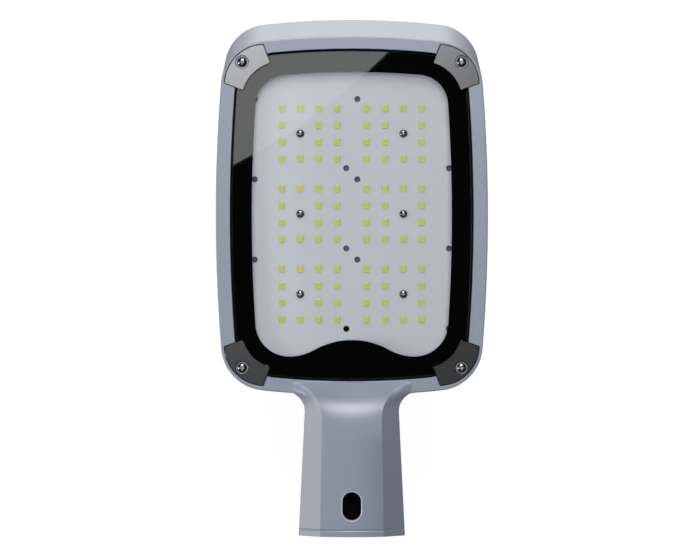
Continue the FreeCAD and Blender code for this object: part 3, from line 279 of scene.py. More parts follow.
housingPaint = {
    "base": (0.199, 0.226, 0.288),
    "light": (0.212, 0.240, 0.304),
    "patches": 14.0,
    "creviceShade": (0.020, 0.022, 0.028),
    "creviceReach": 1.6 * millimetre,
    "openAbove": 0.85,
    "creviceShadeGain": 2.2,
    "roughness": 0.38,
    "gloss": 0.80,
    "grain": 1100.0,
    "grainRoughness": 0.1,
    "peel": 380.0,
    "peelHeight": 0.03 * millimetre,
    "peelStrength": 0.35,
    "edge": 0.45 * millimetre,
    "boreRadius": 30.9 * millimetre,
    "boreDepth": 76.0 * millimetre,
    "boreShadeColour": (0.010, 0.010, 0.012),
}


def paintedCasting():
    # Fine powder coat: soft edges and a faint orange peel, with painted shade darkening its gaps
    # and its socket.
    paint = material("powder_coat")
    grain = paint.noise(housingPaint["grain"], detail=1.0)
    peel = paint.noise(housingPaint["peel"], detail=1.0)
    soft = paint.bumped(
        peel + 0.5 * grain,
        housingPaint["peelHeight"],
        housingPaint["peelStrength"],
        paint.rounded(housingPaint["edge"]),
    )
    patches = paint.noise(housingPaint["patches"], detail=3.0)
    coat = paint.tint(patches, housingPaint["base"], housingPaint["light"])
    # Painted shade: darker in gaps and corners, where little light reaches.
    shelter = housingPaint["openAbove"] - paint.openness(housingPaint["creviceReach"])
    gapShade = (shelter * housingPaint["creviceShadeGain"]).kept()
    coat = paint.tint(gapShade, coat, housingPaint["creviceShade"])
    # Painted highlight: a lighter band round the drain slot's edge.
    coat = paint.tint(slotHighlight(paint), coat, drainSlot["slotHighlightColour"])
    # Painted shade: the inside of the socket is coloured nearly black, for the dark deep in the
    # bore.
    across, up = paint.along("X"), paint.along("Z")
    inBore = across * across + up * up < housingPaint["boreRadius"] ** 2
    inBore = inBore * (paint.along("Y") > -housingPaint["boreDepth"])
    rough = housingPaint["roughness"] + (grain - 0.5) * housingPaint["grainRoughness"]
    return paint.show(
        paint.surface(
            Base_Color=paint.tint(inBore, coat, housingPaint["boreShadeColour"]),
            Roughness=rough + onRamp(paint) * ramp["roughness"],
            Specular_IOR_Level=housingPaint["gloss"],
            Normal=hollowed(paint, soft),
        )
    )


clearPane = {
    "index": 1.5,
    "bothFaces": 1.9,
    "ripple": 22.0,
    "rippleHeight": 0.02 * millimetre,
    "rippleStrength": 0.05,
    "colour": (0.975, 0.982, 0.98, 1),
}


def clearGlass():
    # Its front face stands for both reflections of the pane, and light passes straight through.
    glass = material("clear_glass")
    ripple = glass.noise(clearPane["ripple"], detail=1.0)
    waved = glass.bumped(ripple, clearPane["rippleHeight"], clearPane["rippleStrength"])
    front = 1.0 - glass.add("ShaderNodeNewGeometry", output="Backfacing")
    fresnel = glass.add("ShaderNodeFresnel", sockets={"IOR": clearPane["index"]})
    share = (fresnel * clearPane["bothFaces"] * front).kept()
    mirror = glass.add(
        "ShaderNodeBsdfAnisotropic",
        sockets={"Color": (1, 1, 1, 1), "Roughness": 0.0, "Normal": waved},
    )
    clear = glass.add("ShaderNodeBsdfTransparent", sockets={"Color": clearPane["colour"]})
    return glass.show(mixed(glass, share, clear, mirror))


blackPrint = {
    "dark": (0.0016, 0.0016, 0.002),
    "light": (0.003, 0.003, 0.0035),
    "speck": 600.0,
    "roughness": 0.015,
    "index": 2.5,
}


def firedEnamel():
    enamel = material("black_enamel")
    speck = enamel.noise(blackPrint["speck"])
    return enamel.show(
        enamel.surface(
            Base_Color=enamel.tint(speck, blackPrint["dark"], blackPrint["light"]),
            Roughness=blackPrint["roughness"],
            IOR=blackPrint["index"],
        )
    )


rubberSkin = {
    "speck": 900.0,
    "height": 0.02 * millimetre,
    "strength": 0.4,
    "roughness": 0.6,
}


def plainRubber(name, dark, light, shine=0.5):
    rubber = material(name)
    speck = rubber.noise(rubberSkin["speck"])
    return rubber.show(
        rubber.surface(
            Base_Color=rubber.tint(speck, dark, light),
            Roughness=rubberSkin["roughness"],
            Specular_IOR_Level=shine,
            Normal=rubber.bumped(speck, rubberSkin["height"], rubberSkin["strength"]),
        )
    )


plasticSkin = {
    "patches": 120.0,
    "grain": 1500.0,
    "height": 0.02 * millimetre,
    "strength": 0.3,
    "grainRoughness": 0.1,
}


def mouldedPlastic(name, dark, light, roughness=0.45):
    plastic = material(name)
    grain = plastic.noise(plasticSkin["grain"], detail=1.0)
    return plastic.show(
        plastic.surface(
            Base_Color=plastic.tint(plastic.noise(plasticSkin["patches"]), dark, light),
            Roughness=roughness + (grain - 0.5) * plasticSkin["grainRoughness"],
            Normal=plastic.bumped(grain, plasticSkin["height"], plasticSkin["strength"]),
        )
    )


phosphorSkin = {
    "dark": (0.50, 0.55, 0.030),
    "light": (0.56, 0.61, 0.040),
    "grain": 2500.0,
    "height": 0.02 * millimetre,
    "strength": 0.3,
    "roughness": 0.35,
}


def phosphorGel():
    gel = material("phosphor_gel")
    grain = gel.noise(phosphorSkin["grain"], detail=1.0)
    return gel.show(
        gel.surface(
            Base_Color=gel.tint(grain, phosphorSkin["dark"], phosphorSkin["light"]),
            Roughness=phosphorSkin["roughness"],
            Normal=gel.bumped(grain, phosphorSkin["height"], phosphorSkin["strength"]),
        )
    )


# Where the four clip screws are, in millimetres: aside, along and how high they sit.
clipScrewPlaces = {
    "across": 75.77,
    "nose": -326.65,
    "neck": -115.55,
    "seat": -21.0,
}
clipMetal = {
    "dark": (0.87, 0.88, 0.93),
    "light": (0.92, 0.93, 0.98),
    "grain": 1600.0,
    "grainHeight": 0.01 * millimetre,
    "grainStrength": 0.2,
    "grainRoughness": 0.05,
    "patches": 30.0,
    "roughness": 0.205,
    "edge": 0.3 * millimetre,
    "outline": 0.9 * millimetre,
    "outlineGain": 8.0,
    "outlineColour": (0.02, 0.02, 0.02),
    "facing": 0.8,
    "ringStart": 3.45 * millimetre,
    "ringEnd": 3.95 * millimetre,
    "ringHighlightColour": (0.40, 0.41, 0.43),
}


def screwRingHighlight(clip):
    # 1 on a ring round each of the four clip screws, where a painted highlight stands for the lit
    # edge of the screw's hole.
    side, nose, neck = (clipScrewPlaces[key] * millimetre for key in ("across", "nose", "neck"))
    aside = clip.along("X").size() - side
    ahead = (clip.along("Y") - (nose + neck) / 2).size() - (neck - nose) / 2
    away = (aside * aside + ahead * ahead).root()
    return (away > clipMetal["ringStart"]) * (away < clipMetal["ringEnd"])


def satinClip():
    # Evenly blasted metal, with painted shade on its side walls and edges.
    clip = material("satin_aluminium")
    # Painted highlight: a light, dull ring round each screw head.
    rim = screwRingHighlight(clip)
    grain = clip.noise(clipMetal["grain"], detail=1.0)
    metal = clip.tint(clip.noise(clipMetal["patches"]), clipMetal["dark"], clipMetal["light"])
    # Painted shade: side walls and edges are coloured nearly black.
    facing = clip.add("ShaderNodeSeparateXYZ", sockets={"Vector": clip.flatNormal()}, output="Z")
    edge = (clip.edging(clipMetal["outline"]) * clipMetal["outlineGain"]).kept()
    outline = edge.atLeast(facing.size() < clipMetal["facing"])
    metal = clip.tint(outline, metal, clipMetal["outlineColour"])
    return clip.show(
        clip.surface(
            Base_Color=clip.tint(rim, metal, clipMetal["ringHighlightColour"]),
            Metallic=1.0 - rim,
            Roughness=clipMetal["roughness"] + (grain - 0.5) * clipMetal["grainRoughness"],
            Normal=clip.bumped(
                grain,
                clipMetal["grainHeight"],
                clipMetal["grainStrength"],
                clip.rounded(clipMetal["edge"]),
            ),
        )
    )


plainSteel = {"dark": (0.42, 0.42, 0.43), "light": (0.56, 0.56, 0.57), "roughness": 0.26}
darkSteel = {"dark": (0.17, 0.17, 0.175), "light": (0.21, 0.21, 0.215), "roughness": 0.10}
solderMetal = {"dark": (0.66, 0.66, 0.64), "light": (0.74, 0.74, 0.72), "roughness": 0.5}
bareSurface = {
    "metallic": 0.9,
    "patches": 260.0,
    "grain": 2400.0,
    "grainHeight": 0.01 * millimetre,
    "grainStrength": 0.12,
    "grainRoughness": 0.06,
    "recessReach": 0.9 * millimetre,
    "openAbove": 0.62,
    "recessHighlightGain": 5.0,
    "recessHighlightColour": (0.70, 0.71, 0.73),
    "lowShade": (0.008, 0.008, 0.008),
}


def bareMetal(name, dark, light, roughness, shadedBelow=-1.0):
    # Painted highlight: light and dull inside recesses. Painted shade: dark below a height.
    metal = material(name)
    grain = metal.noise(bareSurface["grain"], detail=1.0)
    # Painted highlight: recesses are coloured light grey and lose their metal sheen.
    shelter = bareSurface["openAbove"] - metal.openness(bareSurface["recessReach"])
    recess = (shelter * bareSurface["recessHighlightGain"]).kept()
    bright = metal.tint(metal.noise(bareSurface["patches"]), dark, light)
    bright = metal.tint(recess, bright, bareSurface["recessHighlightColour"])
    # Painted shade: everything below the given height is nearly black.
    shadedLow = metal.along("Z") < shadedBelow
    return metal.show(
        metal.surface(
            Base_Color=metal.tint(shadedLow, bright, bareSurface["lowShade"]),
            Metallic=(1.0 - recess) * bareSurface["metallic"],
            Roughness=roughness + (grain - 0.5) * bareSurface["grainRoughness"],
            Normal=metal.bumped(
                grain, bareSurface["grainHeight"], bareSurface["grainStrength"]
            ),
        )
    )


boardCoat = {
    "light": (0.612, 0.624, 0.688),
    "dark": (0.533, 0.543, 0.590),
    "litSideTo": -69.52 * millimetre,
    "shadedSideFrom": -21.90 * millimetre,
    "clouds": 18.0,
    "cloudiness": 0.3,
    "weave": 1300.0,
    "weaveHeight": 0.01 * millimetre,
    "weaveStrength": 0.25,
    "shadeReach": 3.0 * millimetre,
    "openAbove": 0.92,
    "shadeGain": 1.1,
    "shade": (0.16, 0.17, 0.19),
    "roughness": 0.5,
}


def solderMask():
    # Painted light: lighter towards -X, where more light falls, and shaded beside what stands on
    # it.
    board = material("white_solder_mask")
    # Painted light and shade: the colour runs from light on the -X side to darker, with random
    # clouds.
    start, length = boardCoat["litSideTo"], boardCoat["shadedSideFrom"] - boardCoat["litSideTo"]
    clouds = (board.noise(boardCoat["clouds"]) - 0.5) * boardCoat["cloudiness"]
    sideShade = (board.along("X") - start) * (1 / length) + clouds
    white = board.tint(sideShade.kept(), boardCoat["light"], boardCoat["dark"])
    weave = board.noise(boardCoat["weave"], detail=1.0)
    shelter = boardCoat["openAbove"] - board.openness(boardCoat["shadeReach"])
    beside = (shelter * boardCoat["shadeGain"]).kept()
    return board.show(
        board.surface(
            Base_Color=board.tint(beside, white, boardCoat["shade"]),
            Roughness=boardCoat["roughness"],
            Normal=board.bumped(weave, boardCoat["weaveHeight"], boardCoat["weaveStrength"]),
        )
    )


print("finishes")
# name: darker and lighter colour, and the roughness where it isn't the usual one
plasticKinds = {
    "white_nylon": ((0.66, 0.66, 0.63), (0.72, 0.72, 0.69)),
    "black_nylon": ((0.012, 0.012, 0.012), (0.02, 0.02, 0.02)),
    "white_package": ((0.60, 0.64, 0.24), (0.65, 0.69, 0.28)),
    "black_case": ((0.002, 0.002, 0.002), (0.003, 0.003, 0.003), 0.6),
    "brown_insulation": ((0.10, 0.04, 0.02), (0.14, 0.06, 0.03)),
    "blue_insulation": ((0.02, 0.09, 0.40), (0.03, 0.12, 0.5)),
    "red_insulation": ((0.40, 0.02, 0.02), (0.5, 0.03, 0.03)),
    "black_insulation": ((0.01, 0.01, 0.01), (0.02, 0.02, 0.02)),
}
moulded = {name: mouldedPlastic(name, *values) for name, values in plasticKinds.items()}
satin = satinClip()
steel = bareMetal("stainless_steel", **plainSteel)
polishedSteel = bareMetal("polished_steel", **darkSteel)
greyRubber = plainRubber("grey_silicone", (0.075, 0.080, 0.105), (0.095, 0.10, 0.13))
blackRubber = plainRubber("black_silicone", (0.002, 0.002, 0.0025), (0.004, 0.004, 0.005), 0.06)
finishes = {
    "housing": paintedCasting(),
    "clip_nose_left": satin,
    "clip_nose_right": satin,
    "clip_neck_left": satin,
    "clip_neck_right": satin,
    "led_board": solderMask(),
    "thermal_pad": greyRubber,
    "led_driver": moulded["black_case"],
    "driver_screws": steel,
    "terminal_block": moulded["white_nylon"],
    "terminal_screws": steel,
    "board_connector": moulded["white_nylon"],
    "lead_live": moulded["brown_insulation"],
    "lead_neutral": moulded["blue_insulation"],
    "lead_positive": moulded["red_insulation"],
    "lead_negative": moulded["black_insulation"],
    "gland_body": moulded["black_nylon"],
    "gland_cap": moulded["black_nylon"],
    "gland_nut": moulded["black_nylon"],
    "gland_seal": blackRubber,
}
for nodeName, finish in finishes.items():
    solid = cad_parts[nodeName].data
    solid.materials.clear()
    solid.materials.append(finish)


# Modelling by hand

samePlace = 0.0005 * millimetre
onAxis = 0.001
level = 0.9


def deselect():
    bpy.ops.object.select_all(action="DESELECT")


def activate(piece):
    deselect()
    piece.select_set(True)
    bpy.context.view_layer.objects.active = piece


def joined(pieces):
    # All become part of the first.
    activate(pieces[0])
    for piece in pieces:
        piece.select_set(True)
    bpy.ops.object.join()
    return pieces[0]


def edit(mode="FACE"):
    bpy.ops.object.mode_set(mode="EDIT")
    bpy.ops.mesh.select_mode(type=mode)
    bpy.ops.mesh.select_all(action="DESELECT")


def finishEdit():
    bpy.ops.object.mode_set(mode="OBJECT")


def pick(piece, wanted, part="polygons"):
    # Selects what fits, from inside edit mode.
    finishEdit()
    for item in getattr(piece.data, part):
        item.select = bool(wanted(item))
    bpy.ops.object.mode_set(mode="EDIT")


def facesUp(face):
    return face.normal.z > level


def facesDown(face):
    return face.normal.z < -level


def pickEdges(piece, fits):
    # Selects the edges whose two ends fit.
    corners = [corner.co.copy() for corner in piece.data.vertices]
    edit("EDGE")
    pick(piece, lambda edge: fits(*(corners[index] for index in edge.vertices)), "edges")


def turned(name, profile, steps):
    # A line of (radius, height) points in millimetres, spun round the Z axis.
    deselect()
    bpy.ops.mesh.primitive_plane_add(size=millimetre)
    piece = bpy.context.object
    piece.name = name
    edit("VERT")
    bpy.ops.mesh.select_all(action="SELECT")
    bpy.ops.mesh.merge(type="CENTER")
    points = [Vector((radius, 0, height)) * millimetre for radius, height in profile]
    bpy.ops.transform.translate(value=points[0])
    for before, after in zip(points, points[1:]):
        bpy.ops.mesh.extrude_region_move(TRANSFORM_OT_translate={"value": after - before})
    bpy.ops.mesh.select_all(action="SELECT")
    bpy.ops.mesh.spin(steps=steps, angle=2 * math.pi, center=(0, 0, 0), axis=(0, 0, 1))
    bpy.ops.mesh.select_all(action="SELECT")
    bpy.ops.mesh.remove_doubles(threshold=samePlace)
    bpy.ops.mesh.normals_make_consistent(inside=False)
    finishEdit()
    return piece


def blockAt(name, size, centre):
    # A plain block, in millimetres, that is still to be shaped.
    deselect()
    bpy.ops.mesh.primitive_cube_add(size=1, location=Vector(centre) * millimetre)
    block = bpy.context.object
    block.name = name
    block.scale = Vector(size) * millimetre
    bpy.ops.object.transform_apply(location=True, rotation=True, scale=True)
    return block


def cutWith(piece, cutter, operation="DIFFERENCE"):
    activate(piece)
    cut = piece.modifiers.new("cut", "BOOLEAN")
    cut.operation = operation
    cut.object = cutter
    cut.solver = "EXACT"
    bpy.ops.object.modifier_apply(modifier="cut")
    bpy.data.objects.remove(cutter)


def smoothed(piece, angle=35):
    activate(piece)
    bpy.ops.object.shade_smooth_by_angle(angle=math.radians(angle))
    return piece


def repeated(master, name, places):
    # Copies at these places in millimetres, joined to one piece at the origin.
    copies = []
    for place in places:
        copy = master.copy()
        copy.data = master.data.copy()
        copy.location = Vector(place) * millimetre
        bpy.context.collection.objects.link(copy)
        copies.append(copy)
    bpy.data.objects.remove(master)
    piece = joined(copies)
    bpy.ops.object.transform_apply(location=True, rotation=True, scale=True)
    piece.name = name
    return piece


def fitted(piece, finish, slotName, *nodes):
    # Dresses a piece that doesn't move, and shows it instead of these nodes.
    piece.data.materials.clear()
    piece.data.materials.append(finish)
    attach(piece, "root")
    if nodes:
        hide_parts(*nodes)
    return piece


# Pan head screws with a cross recess, in the clips and in the board

clipScrew = {
    "headRadius": 3.5,
    "headHeight": 2.4,
    "edgeHeight": 0.5,
    "shankRadius": 2.0,
    "length": 12.0,
    "threadPitch": 0.7,
    "crossSpan": 2.3,
    "crossWidth": 1.05,
    "crossDepth": 1.5,
}
boardScrew = {
    "headRadius": 2.8,
    "headHeight": 2.0,
    "edgeHeight": 0.35,
    "shankRadius": 1.5,
    "length": 8.0,
    "threadPitch": 0.5,
    "crossSpan": 1.8,
    "crossWidth": 0.8,
    "crossDepth": 1.2,
}
# What both kinds share. The depth of the thread is a share of its pitch.
panShape = {
    "domeSteps": 9,
    "spinSteps": 40,
    "seatBevel": 0.12,
    "threadDepth": 0.45,
    "pointLength": 0.3,
    "pointShare": 0.6,
    "crossShare": 0.45,
}


def panScrew(name, screw):
    # The head points down from z = 0, and the threaded shank goes up.
    head, shank = screw["headRadius"], screw["shankRadius"]
    pitch, length = screw["threadPitch"], screw["length"]
    bevel = panShape["seatBevel"]
    profile = []
    for step in range(panShape["domeSteps"] + 1):
        turn = math.pi / 2 * step / panShape["domeSteps"]
        rise = (screw["headHeight"] - screw["edgeHeight"]) * math.cos(turn)
        profile.append((max(head * math.sin(turn), onAxis), -screw["edgeHeight"] - rise))
    profile += [(head, -bevel), (head - bevel, 0.0), (shank, 0.0)]
    root = shank - panShape["threadDepth"] * pitch
    height = pitch
    while height < length - pitch:
        profile += [(shank, height), (root, height + pitch / 2)]
        height += pitch
    profile += [(root, length - panShape["pointLength"])]
    profile += [(root * panShape["pointShare"], length), (onAxis, length)]
    piece = turned(name, profile, panShape["spinSteps"])
    for quarterTurns in (0, 1):
        cutWith(piece, crossArm(screw, quarterTurns))
    return smoothed(piece)


def crossArm(screw, quarterTurns):
    # A blade across the head that narrows towards the bottom of the recess.
    span, width, depth = screw["crossSpan"], screw["crossWidth"], screw["crossDepth"]
    arm = blockAt("arm", (2 * span, width, 2 * depth), (0, 0, -screw["headHeight"]))
    arm.rotation_euler.z = quarterTurns * math.pi / 2
    bpy.ops.object.transform_apply(location=True, rotation=True, scale=True)
    edit()
    pick(arm, facesUp)
    share = panShape["crossShare"]
    bpy.ops.transform.resize(value=(share, share, 1), center_override=(0, 0, 0))
    finishEdit()
    return arm


print("screws")
groupCentres = (-277.85, -222.10, -166.35)
boardScrewAcross = 35.8
sides = (-1, 1)
clipPlaces = [
    (side * clipScrewPlaces["across"], clipScrewPlaces[end], clipScrewPlaces["seat"])
    for side in sides
    for end in ("nose", "neck")
]
boardPlaces = [
    (side * boardScrewAcross, centre, boardFace) for side in sides for centre in groupCentres
]
fitted(
    repeated(panScrew("clip_screw", clipScrew), "clip_screw_set", clipPlaces),
    polishedSteel,
    "screw_steel",
    "clip_screws",
)
fitted(
    repeated(panScrew("board_screw", boardScrew), "board_screw_set", boardPlaces),
    polishedSteel,
    "screw_steel",
    "board_screws",
)


# Hexagon screws that clamp the pole

poleScrew = {
    "flats": 13.0,
    "headHeight": 5.3,
    "washerRadius": 6.2,
    "washerHeight": 0.5,
    "washerLap": 0.3,
    "cornerCut": 1.2,
    "cornerFall": 3.6,
    "shankRadius": 4.0,
    "length": 14.0,
    "threadPitch": 1.25,
    "threadDepth": 0.5,
    "pointLength": 1.2,
    "pointShare": 0.6,
    "coneSteps": 48,
    "shankSteps": 32,
    "places": (-22.0, -55.0),
    "seat": 44.9,
    "shadedBelow": 36.0,
}


def hexHead():
    # A hexagon whose top corners are cut by a cone.
    head, washer = poleScrew["headHeight"], poleScrew["washerHeight"]
    corner = poleScrew["flats"] / math.sqrt(3)
    deselect()
    bpy.ops.mesh.primitive_cylinder_add(
        vertices=6,
        radius=corner * millimetre,
        depth=(head - washer) * millimetre,
        location=(0, 0, (head + washer) / 2 * millimetre),
    )
    hexagon = bpy.context.object
    bpy.ops.object.transform_apply(location=True, rotation=True, scale=True)
    outside, below = corner + 1.0, -1.0
    cone = [(onAxis, below), (outside, below), (outside, head - poleScrew["cornerFall"])]
    cone += [(corner - poleScrew["cornerCut"], head), (onAxis, head)]
    cutWith(hexagon, turned("cone", cone, poleScrew["coneSteps"]), "INTERSECT")
    return hexagon


def hexScrew():
    # The head stands up from z = 0 and the threaded shank hangs below it.
    radius, pitch, length = (poleScrew[key] for key in ("shankRadius", "threadPitch", "length"))
    washer = poleScrew["washerRadius"]
    washerTop = poleScrew["washerHeight"] + poleScrew["washerLap"]
    profile = [(onAxis, washerTop), (washer, washerTop), (washer, 0.0), (radius, 0.0)]
    root = radius - poleScrew["threadDepth"] * pitch
    height = -pitch
    while height > pitch - length + poleScrew["pointLength"]:
        profile += [(radius, height), (root, height - pitch / 2)]
        height -= pitch
    profile += [(root, poleScrew["pointLength"] - length)]
    profile += [(root * poleScrew["pointShare"], -length), (onAxis, -length)]
    shank = turned("shank", profile, poleScrew["shankSteps"])
    return smoothed(joined([hexHead(), shank]))


print("pole screws")
polePlaces = [(0, place, poleScrew["seat"]) for place in poleScrew["places"]]
# Painted shade: the lower ends of the shanks are coloured nearly black.
lowShadeLevel = poleScrew["shadedBelow"] * millimetre
fitted(
    repeated(hexScrew(), "pole_screw_set", polePlaces),
    bareMetal("low_shaded_steel", **plainSteel, shadedBelow=lowShadeLevel),
    "screw_steel",
    "pole_screws",
)


# Light emitters: a yellowish package with a well, its gel and its two soldered ends

emitter = {
    "width": 3.6,
    "length": 4.4,
    "height": 0.8,
    "corner": 0.18,
    "wall": 0.1,
    "wellDepth": 0.35,
    "wellSlope": 0.04,
    "gelGap": 0.04,
    "gelRim": 0.35,
    "gelHollow": 0.03,
    "padWidth": 2.6,
    "padLength": 0.3,
    "padHeight": 0.3,
    "padRound": 0.22,
    "padBulge": 0.35,
}
# A group's two halves stand apart, and each of its two screws has the place of two emitters.
emitterGrid = {
    "rows": 4,
    "columns": 8,
    "rowPitch": 11.67,
    "columnPitch": 12.75,
    "middleShift": 3.925,
    "screwRows": (1, 2),
    "screwColumns": (1, 6),
}


def emitterPackage():
    # z = 0 is the board, and the well opens downwards.
    height, depth = emitter["height"], emitter["wellDepth"]
    size = (emitter["width"], emitter["length"], height)
    package = blockAt("package", size, (0, 0, -height / 2))
    pickEdges(package, lambda first, second: abs(first.z - second.z) > height / 2 * millimetre)
    bpy.ops.mesh.bevel(offset=emitter["corner"] * millimetre, segments=2)
    bpy.ops.mesh.select_mode(type="FACE")
    pick(package, facesDown)
    bpy.ops.mesh.inset(thickness=emitter["wall"] * millimetre)
    bpy.ops.mesh.extrude_region_move(TRANSFORM_OT_translate={"value": (0, 0, depth * millimetre)})
    share = 1 - emitter["wellSlope"]
    bpy.ops.transform.resize(
        value=(share, share, 1), center_override=(0, 0, (depth - height) * millimetre)
    )
    finishEdit()
    return package


def emitterGel():
    # Clear gel over phosphor, a little hollow in the middle.
    width, length = (emitter[key] - 2 * emitter["wall"] for key in ("width", "length"))
    depth = emitter["wellDepth"]
    size = (width, length, depth - emitter["gelGap"])
    gel = blockAt("gel", size, (0, 0, depth / 2 - emitter["height"]))
    edit()
    pick(gel, facesDown)
    bpy.ops.mesh.inset(thickness=emitter["gelRim"] * millimetre)
    bpy.ops.transform.translate(value=(0, 0, emitter["gelHollow"] * millimetre))
    finishEdit()
    return gel


def emitterPad(end):
    # Bright solder at one end, which slopes down to the board.
    size = (emitter["padWidth"], emitter["padLength"], emitter["padHeight"])
    away, half = (emitter["length"] + emitter["padLength"]) / 2, emitter["padHeight"] / 2
    pad = blockAt("pad", size, (0, end * away, -half))

    def outer(*corners):
        return all(
            corner.y * end > away * millimetre and corner.z < -half * millimetre
            for corner in corners
        )

    pickEdges(pad, outer)
    bpy.ops.mesh.bevel(
        offset=emitter["padRound"] * millimetre, segments=3, profile=emitter["padBulge"]
    )
    finishEdit()
    return pad


def emitterPlaces():
    places = []
    for centre in groupCentres:
        for row in range(emitterGrid["rows"]):
            up = centre + (row - (emitterGrid["rows"] - 1) / 2) * emitterGrid["rowPitch"]
            for column in range(emitterGrid["columns"]):
                if row in emitterGrid["screwRows"] and column in emitterGrid["screwColumns"]:
                    continue
                step = column - (emitterGrid["columns"] - 1) / 2
                shift = math.copysign(emitterGrid["middleShift"], step)
                places.append((step * emitterGrid["columnPitch"] + shift, up, boardFace))
    return places


print("emitters")
fitted(
    repeated(emitterPackage(), "emitter_packages", emitterPlaces()),
    moulded["white_package"],
    "led_white",
    "led_packages",
)
fitted(
    repeated(emitterGel(), "emitter_gels", emitterPlaces()),
    phosphorGel(),
    "led_phosphor",
    "led_phosphors",
)
fitted(
    repeated(joined([emitterPad(-1), emitterPad(1)]), "emitter_solder", emitterPlaces()),
    bareMetal("solder", **solderMetal),
    "screw_steel",
)


# Pieces that start from a solid's own mesh

flatWithin = 0.5


def meshCopy(nodeName, name):
    # The copy's flat faces are whole again, ready to be shaped.
    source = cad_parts[nodeName]
    piece = bpy.data.objects.new(name, source.data.copy())
    bpy.context.collection.objects.link(piece)
    activate(piece)
    bpy.ops.mesh.customdata_custom_splitnormals_clear()
    edit()
    bpy.ops.mesh.select_all(action="SELECT")
    bpy.ops.mesh.remove_doubles(threshold=samePlace)
    bpy.ops.mesh.dissolve_limited(angle_limit=math.radians(flatWithin))
    finishEdit()
    return piece


# Glass, and the enamel ring behind it, that reaches nearly to its edge

glassSheet = {
    "clearance": 0.05,
    "enamelGrowth": 0.85,
    "smoothTo": 30,
}


def facesOut(face):
    # The outer wall of a piece that goes round the middle of the glass.
    return abs(face.normal.z) < 1 - level and face.normal.dot(face.center - middle) > 0


def widerEnamel():
    ring = meshCopy("glass_border", "enamel_ring")
    low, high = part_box("glass_border")
    growth = 2 * glassSheet["enamelGrowth"] * millimetre
    shares = (1 + growth / (high.x - low.x), 1 + growth / (high.y - low.y), 1)
    edit()
    pick(ring, facesOut)
    bpy.ops.transform.resize(value=shares, center_override=(low + high) / 2)
    finishEdit()
    return smoothed(ring, glassSheet["smoothTo"])


def clearSheet():
    sheet = meshCopy("glass_pane", "glass_sheet")
    edit()
    pick(sheet, facesUp)
    bpy.ops.transform.translate(value=(0, 0, -glassSheet["clearance"] * millimetre))
    finishEdit()
    return smoothed(sheet, glassSheet["smoothTo"])


print("glass")
fitted(clearSheet(), clearGlass(), "glass", "glass_pane")
fitted(widerEnamel(), firedEnamel(), "border_enamel", "glass_border")


# Gasket with a lip that fills the gap round the glass, and a seat behind it. The lip's black
# rubber also darkens the gap as painted shade.

gasketBack = -15.1
lipRing = {"start": 1.1, "width": 1.1, "front": -18.3}
seatRing = {"start": -0.2, "width": 2.0, "front": -16.9}


def growRing(ring, start, width, front):
    # Grows a closed ring from a band of wall, first placed and then thickened outwards.
    activate(ring)
    low = min(corner.co.z for corner in ring.data.vertices)
    high = max(corner.co.z for corner in ring.data.vertices)
    edit()
    bpy.ops.mesh.select_all(action="SELECT")
    bpy.ops.mesh.tris_convert_to_quads()
    bpy.ops.transform.shrink_fatten(value=start * millimetre, use_even_offset=True)
    bpy.ops.transform.resize(
        value=(1, 1, (gasketBack - front) * millimetre / (high - low)),
        center_override=(0, 0, high),
    )
    bpy.ops.transform.translate(value=(0, 0, gasketBack * millimetre - high))
    bpy.ops.mesh.extrude_region_shrink_fatten(
        TRANSFORM_OT_shrink_fatten={"value": width * millimetre, "use_even_offset": True}
    )
    bpy.ops.mesh.select_all(action="SELECT")
    bpy.ops.mesh.normals_make_consistent(inside=False)
    finishEdit()


def lippedGasket():
    gasket = meshCopy("glass_gasket", "lipped_gasket")
    edit()
    pick(gasket, facesOut)
    bpy.ops.mesh.duplicate()
    bpy.ops.mesh.separate(type="SELECTED")
    finishEdit()
    lip = [piece for piece in bpy.context.selected_objects if piece is not gasket][0]
    activate(lip)
    bpy.ops.object.duplicate()
    seat = bpy.context.object
    growRing(lip, **lipRing)
    growRing(seat, **seatRing)
    return smoothed(joined([gasket, lip, seat]))


print("gasket")
fitted(lippedGasket(), blackRubber, "gasket_rubber", "glass_gasket")


# Camera, where the photograph was taken from

view = {
    "distance": 2.2,
    "metresPerPixel": 0.00069,
    "pixelsAcross": 700,
    "x": -0.00125,
    "y": -0.1797,
    "sensor": 36.0,
    "nearest": 0.1,
    "farthest": 50.0,
}

print("camera")
deselect()
bpy.ops.object.camera_add(
    location=(view["x"], view["y"], rimLevel - view["distance"]), rotation=(math.pi, 0, 0)
)
camera = bpy.context.object
camera.name = "photo_camera"
camera.data.sensor_width = view["sensor"]
frameWidth = view["pixelsAcross"] * view["metresPerPixel"]
camera.data.lens = view["sensor"] * view["distance"] / frameWidth
camera.data.clip_start = view["nearest"]
camera.data.clip_end = view["farthest"]
bpy.context.scene.camera = camera


# Stage: a backdrop, a dark room in front, a card that shows in the glass, a flag and lamps

studio = {
    "backdropGap": 0.30,
    "backdropSize": 8.0,
    "backdropGlow": 0.89,
    "backdropColour": 0.20,
    "roomRadius": 3.2,
    "cardRadius": 0.82,
    "cardX": -0.531,
    "cardY": -0.884,
    "cardGlow": 0.56,
    "flagRadius": 0.75,
    "flagHeight": 1.30,
    "ambient": 0.02,
    "ambientColour": (0.97, 0.98, 1.0, 1),
}

# One lamp isn't mirrored by anything, and one adds nothing but sheen.
plainLamp = "front_soft"
glossLamp = "nose_gloss"
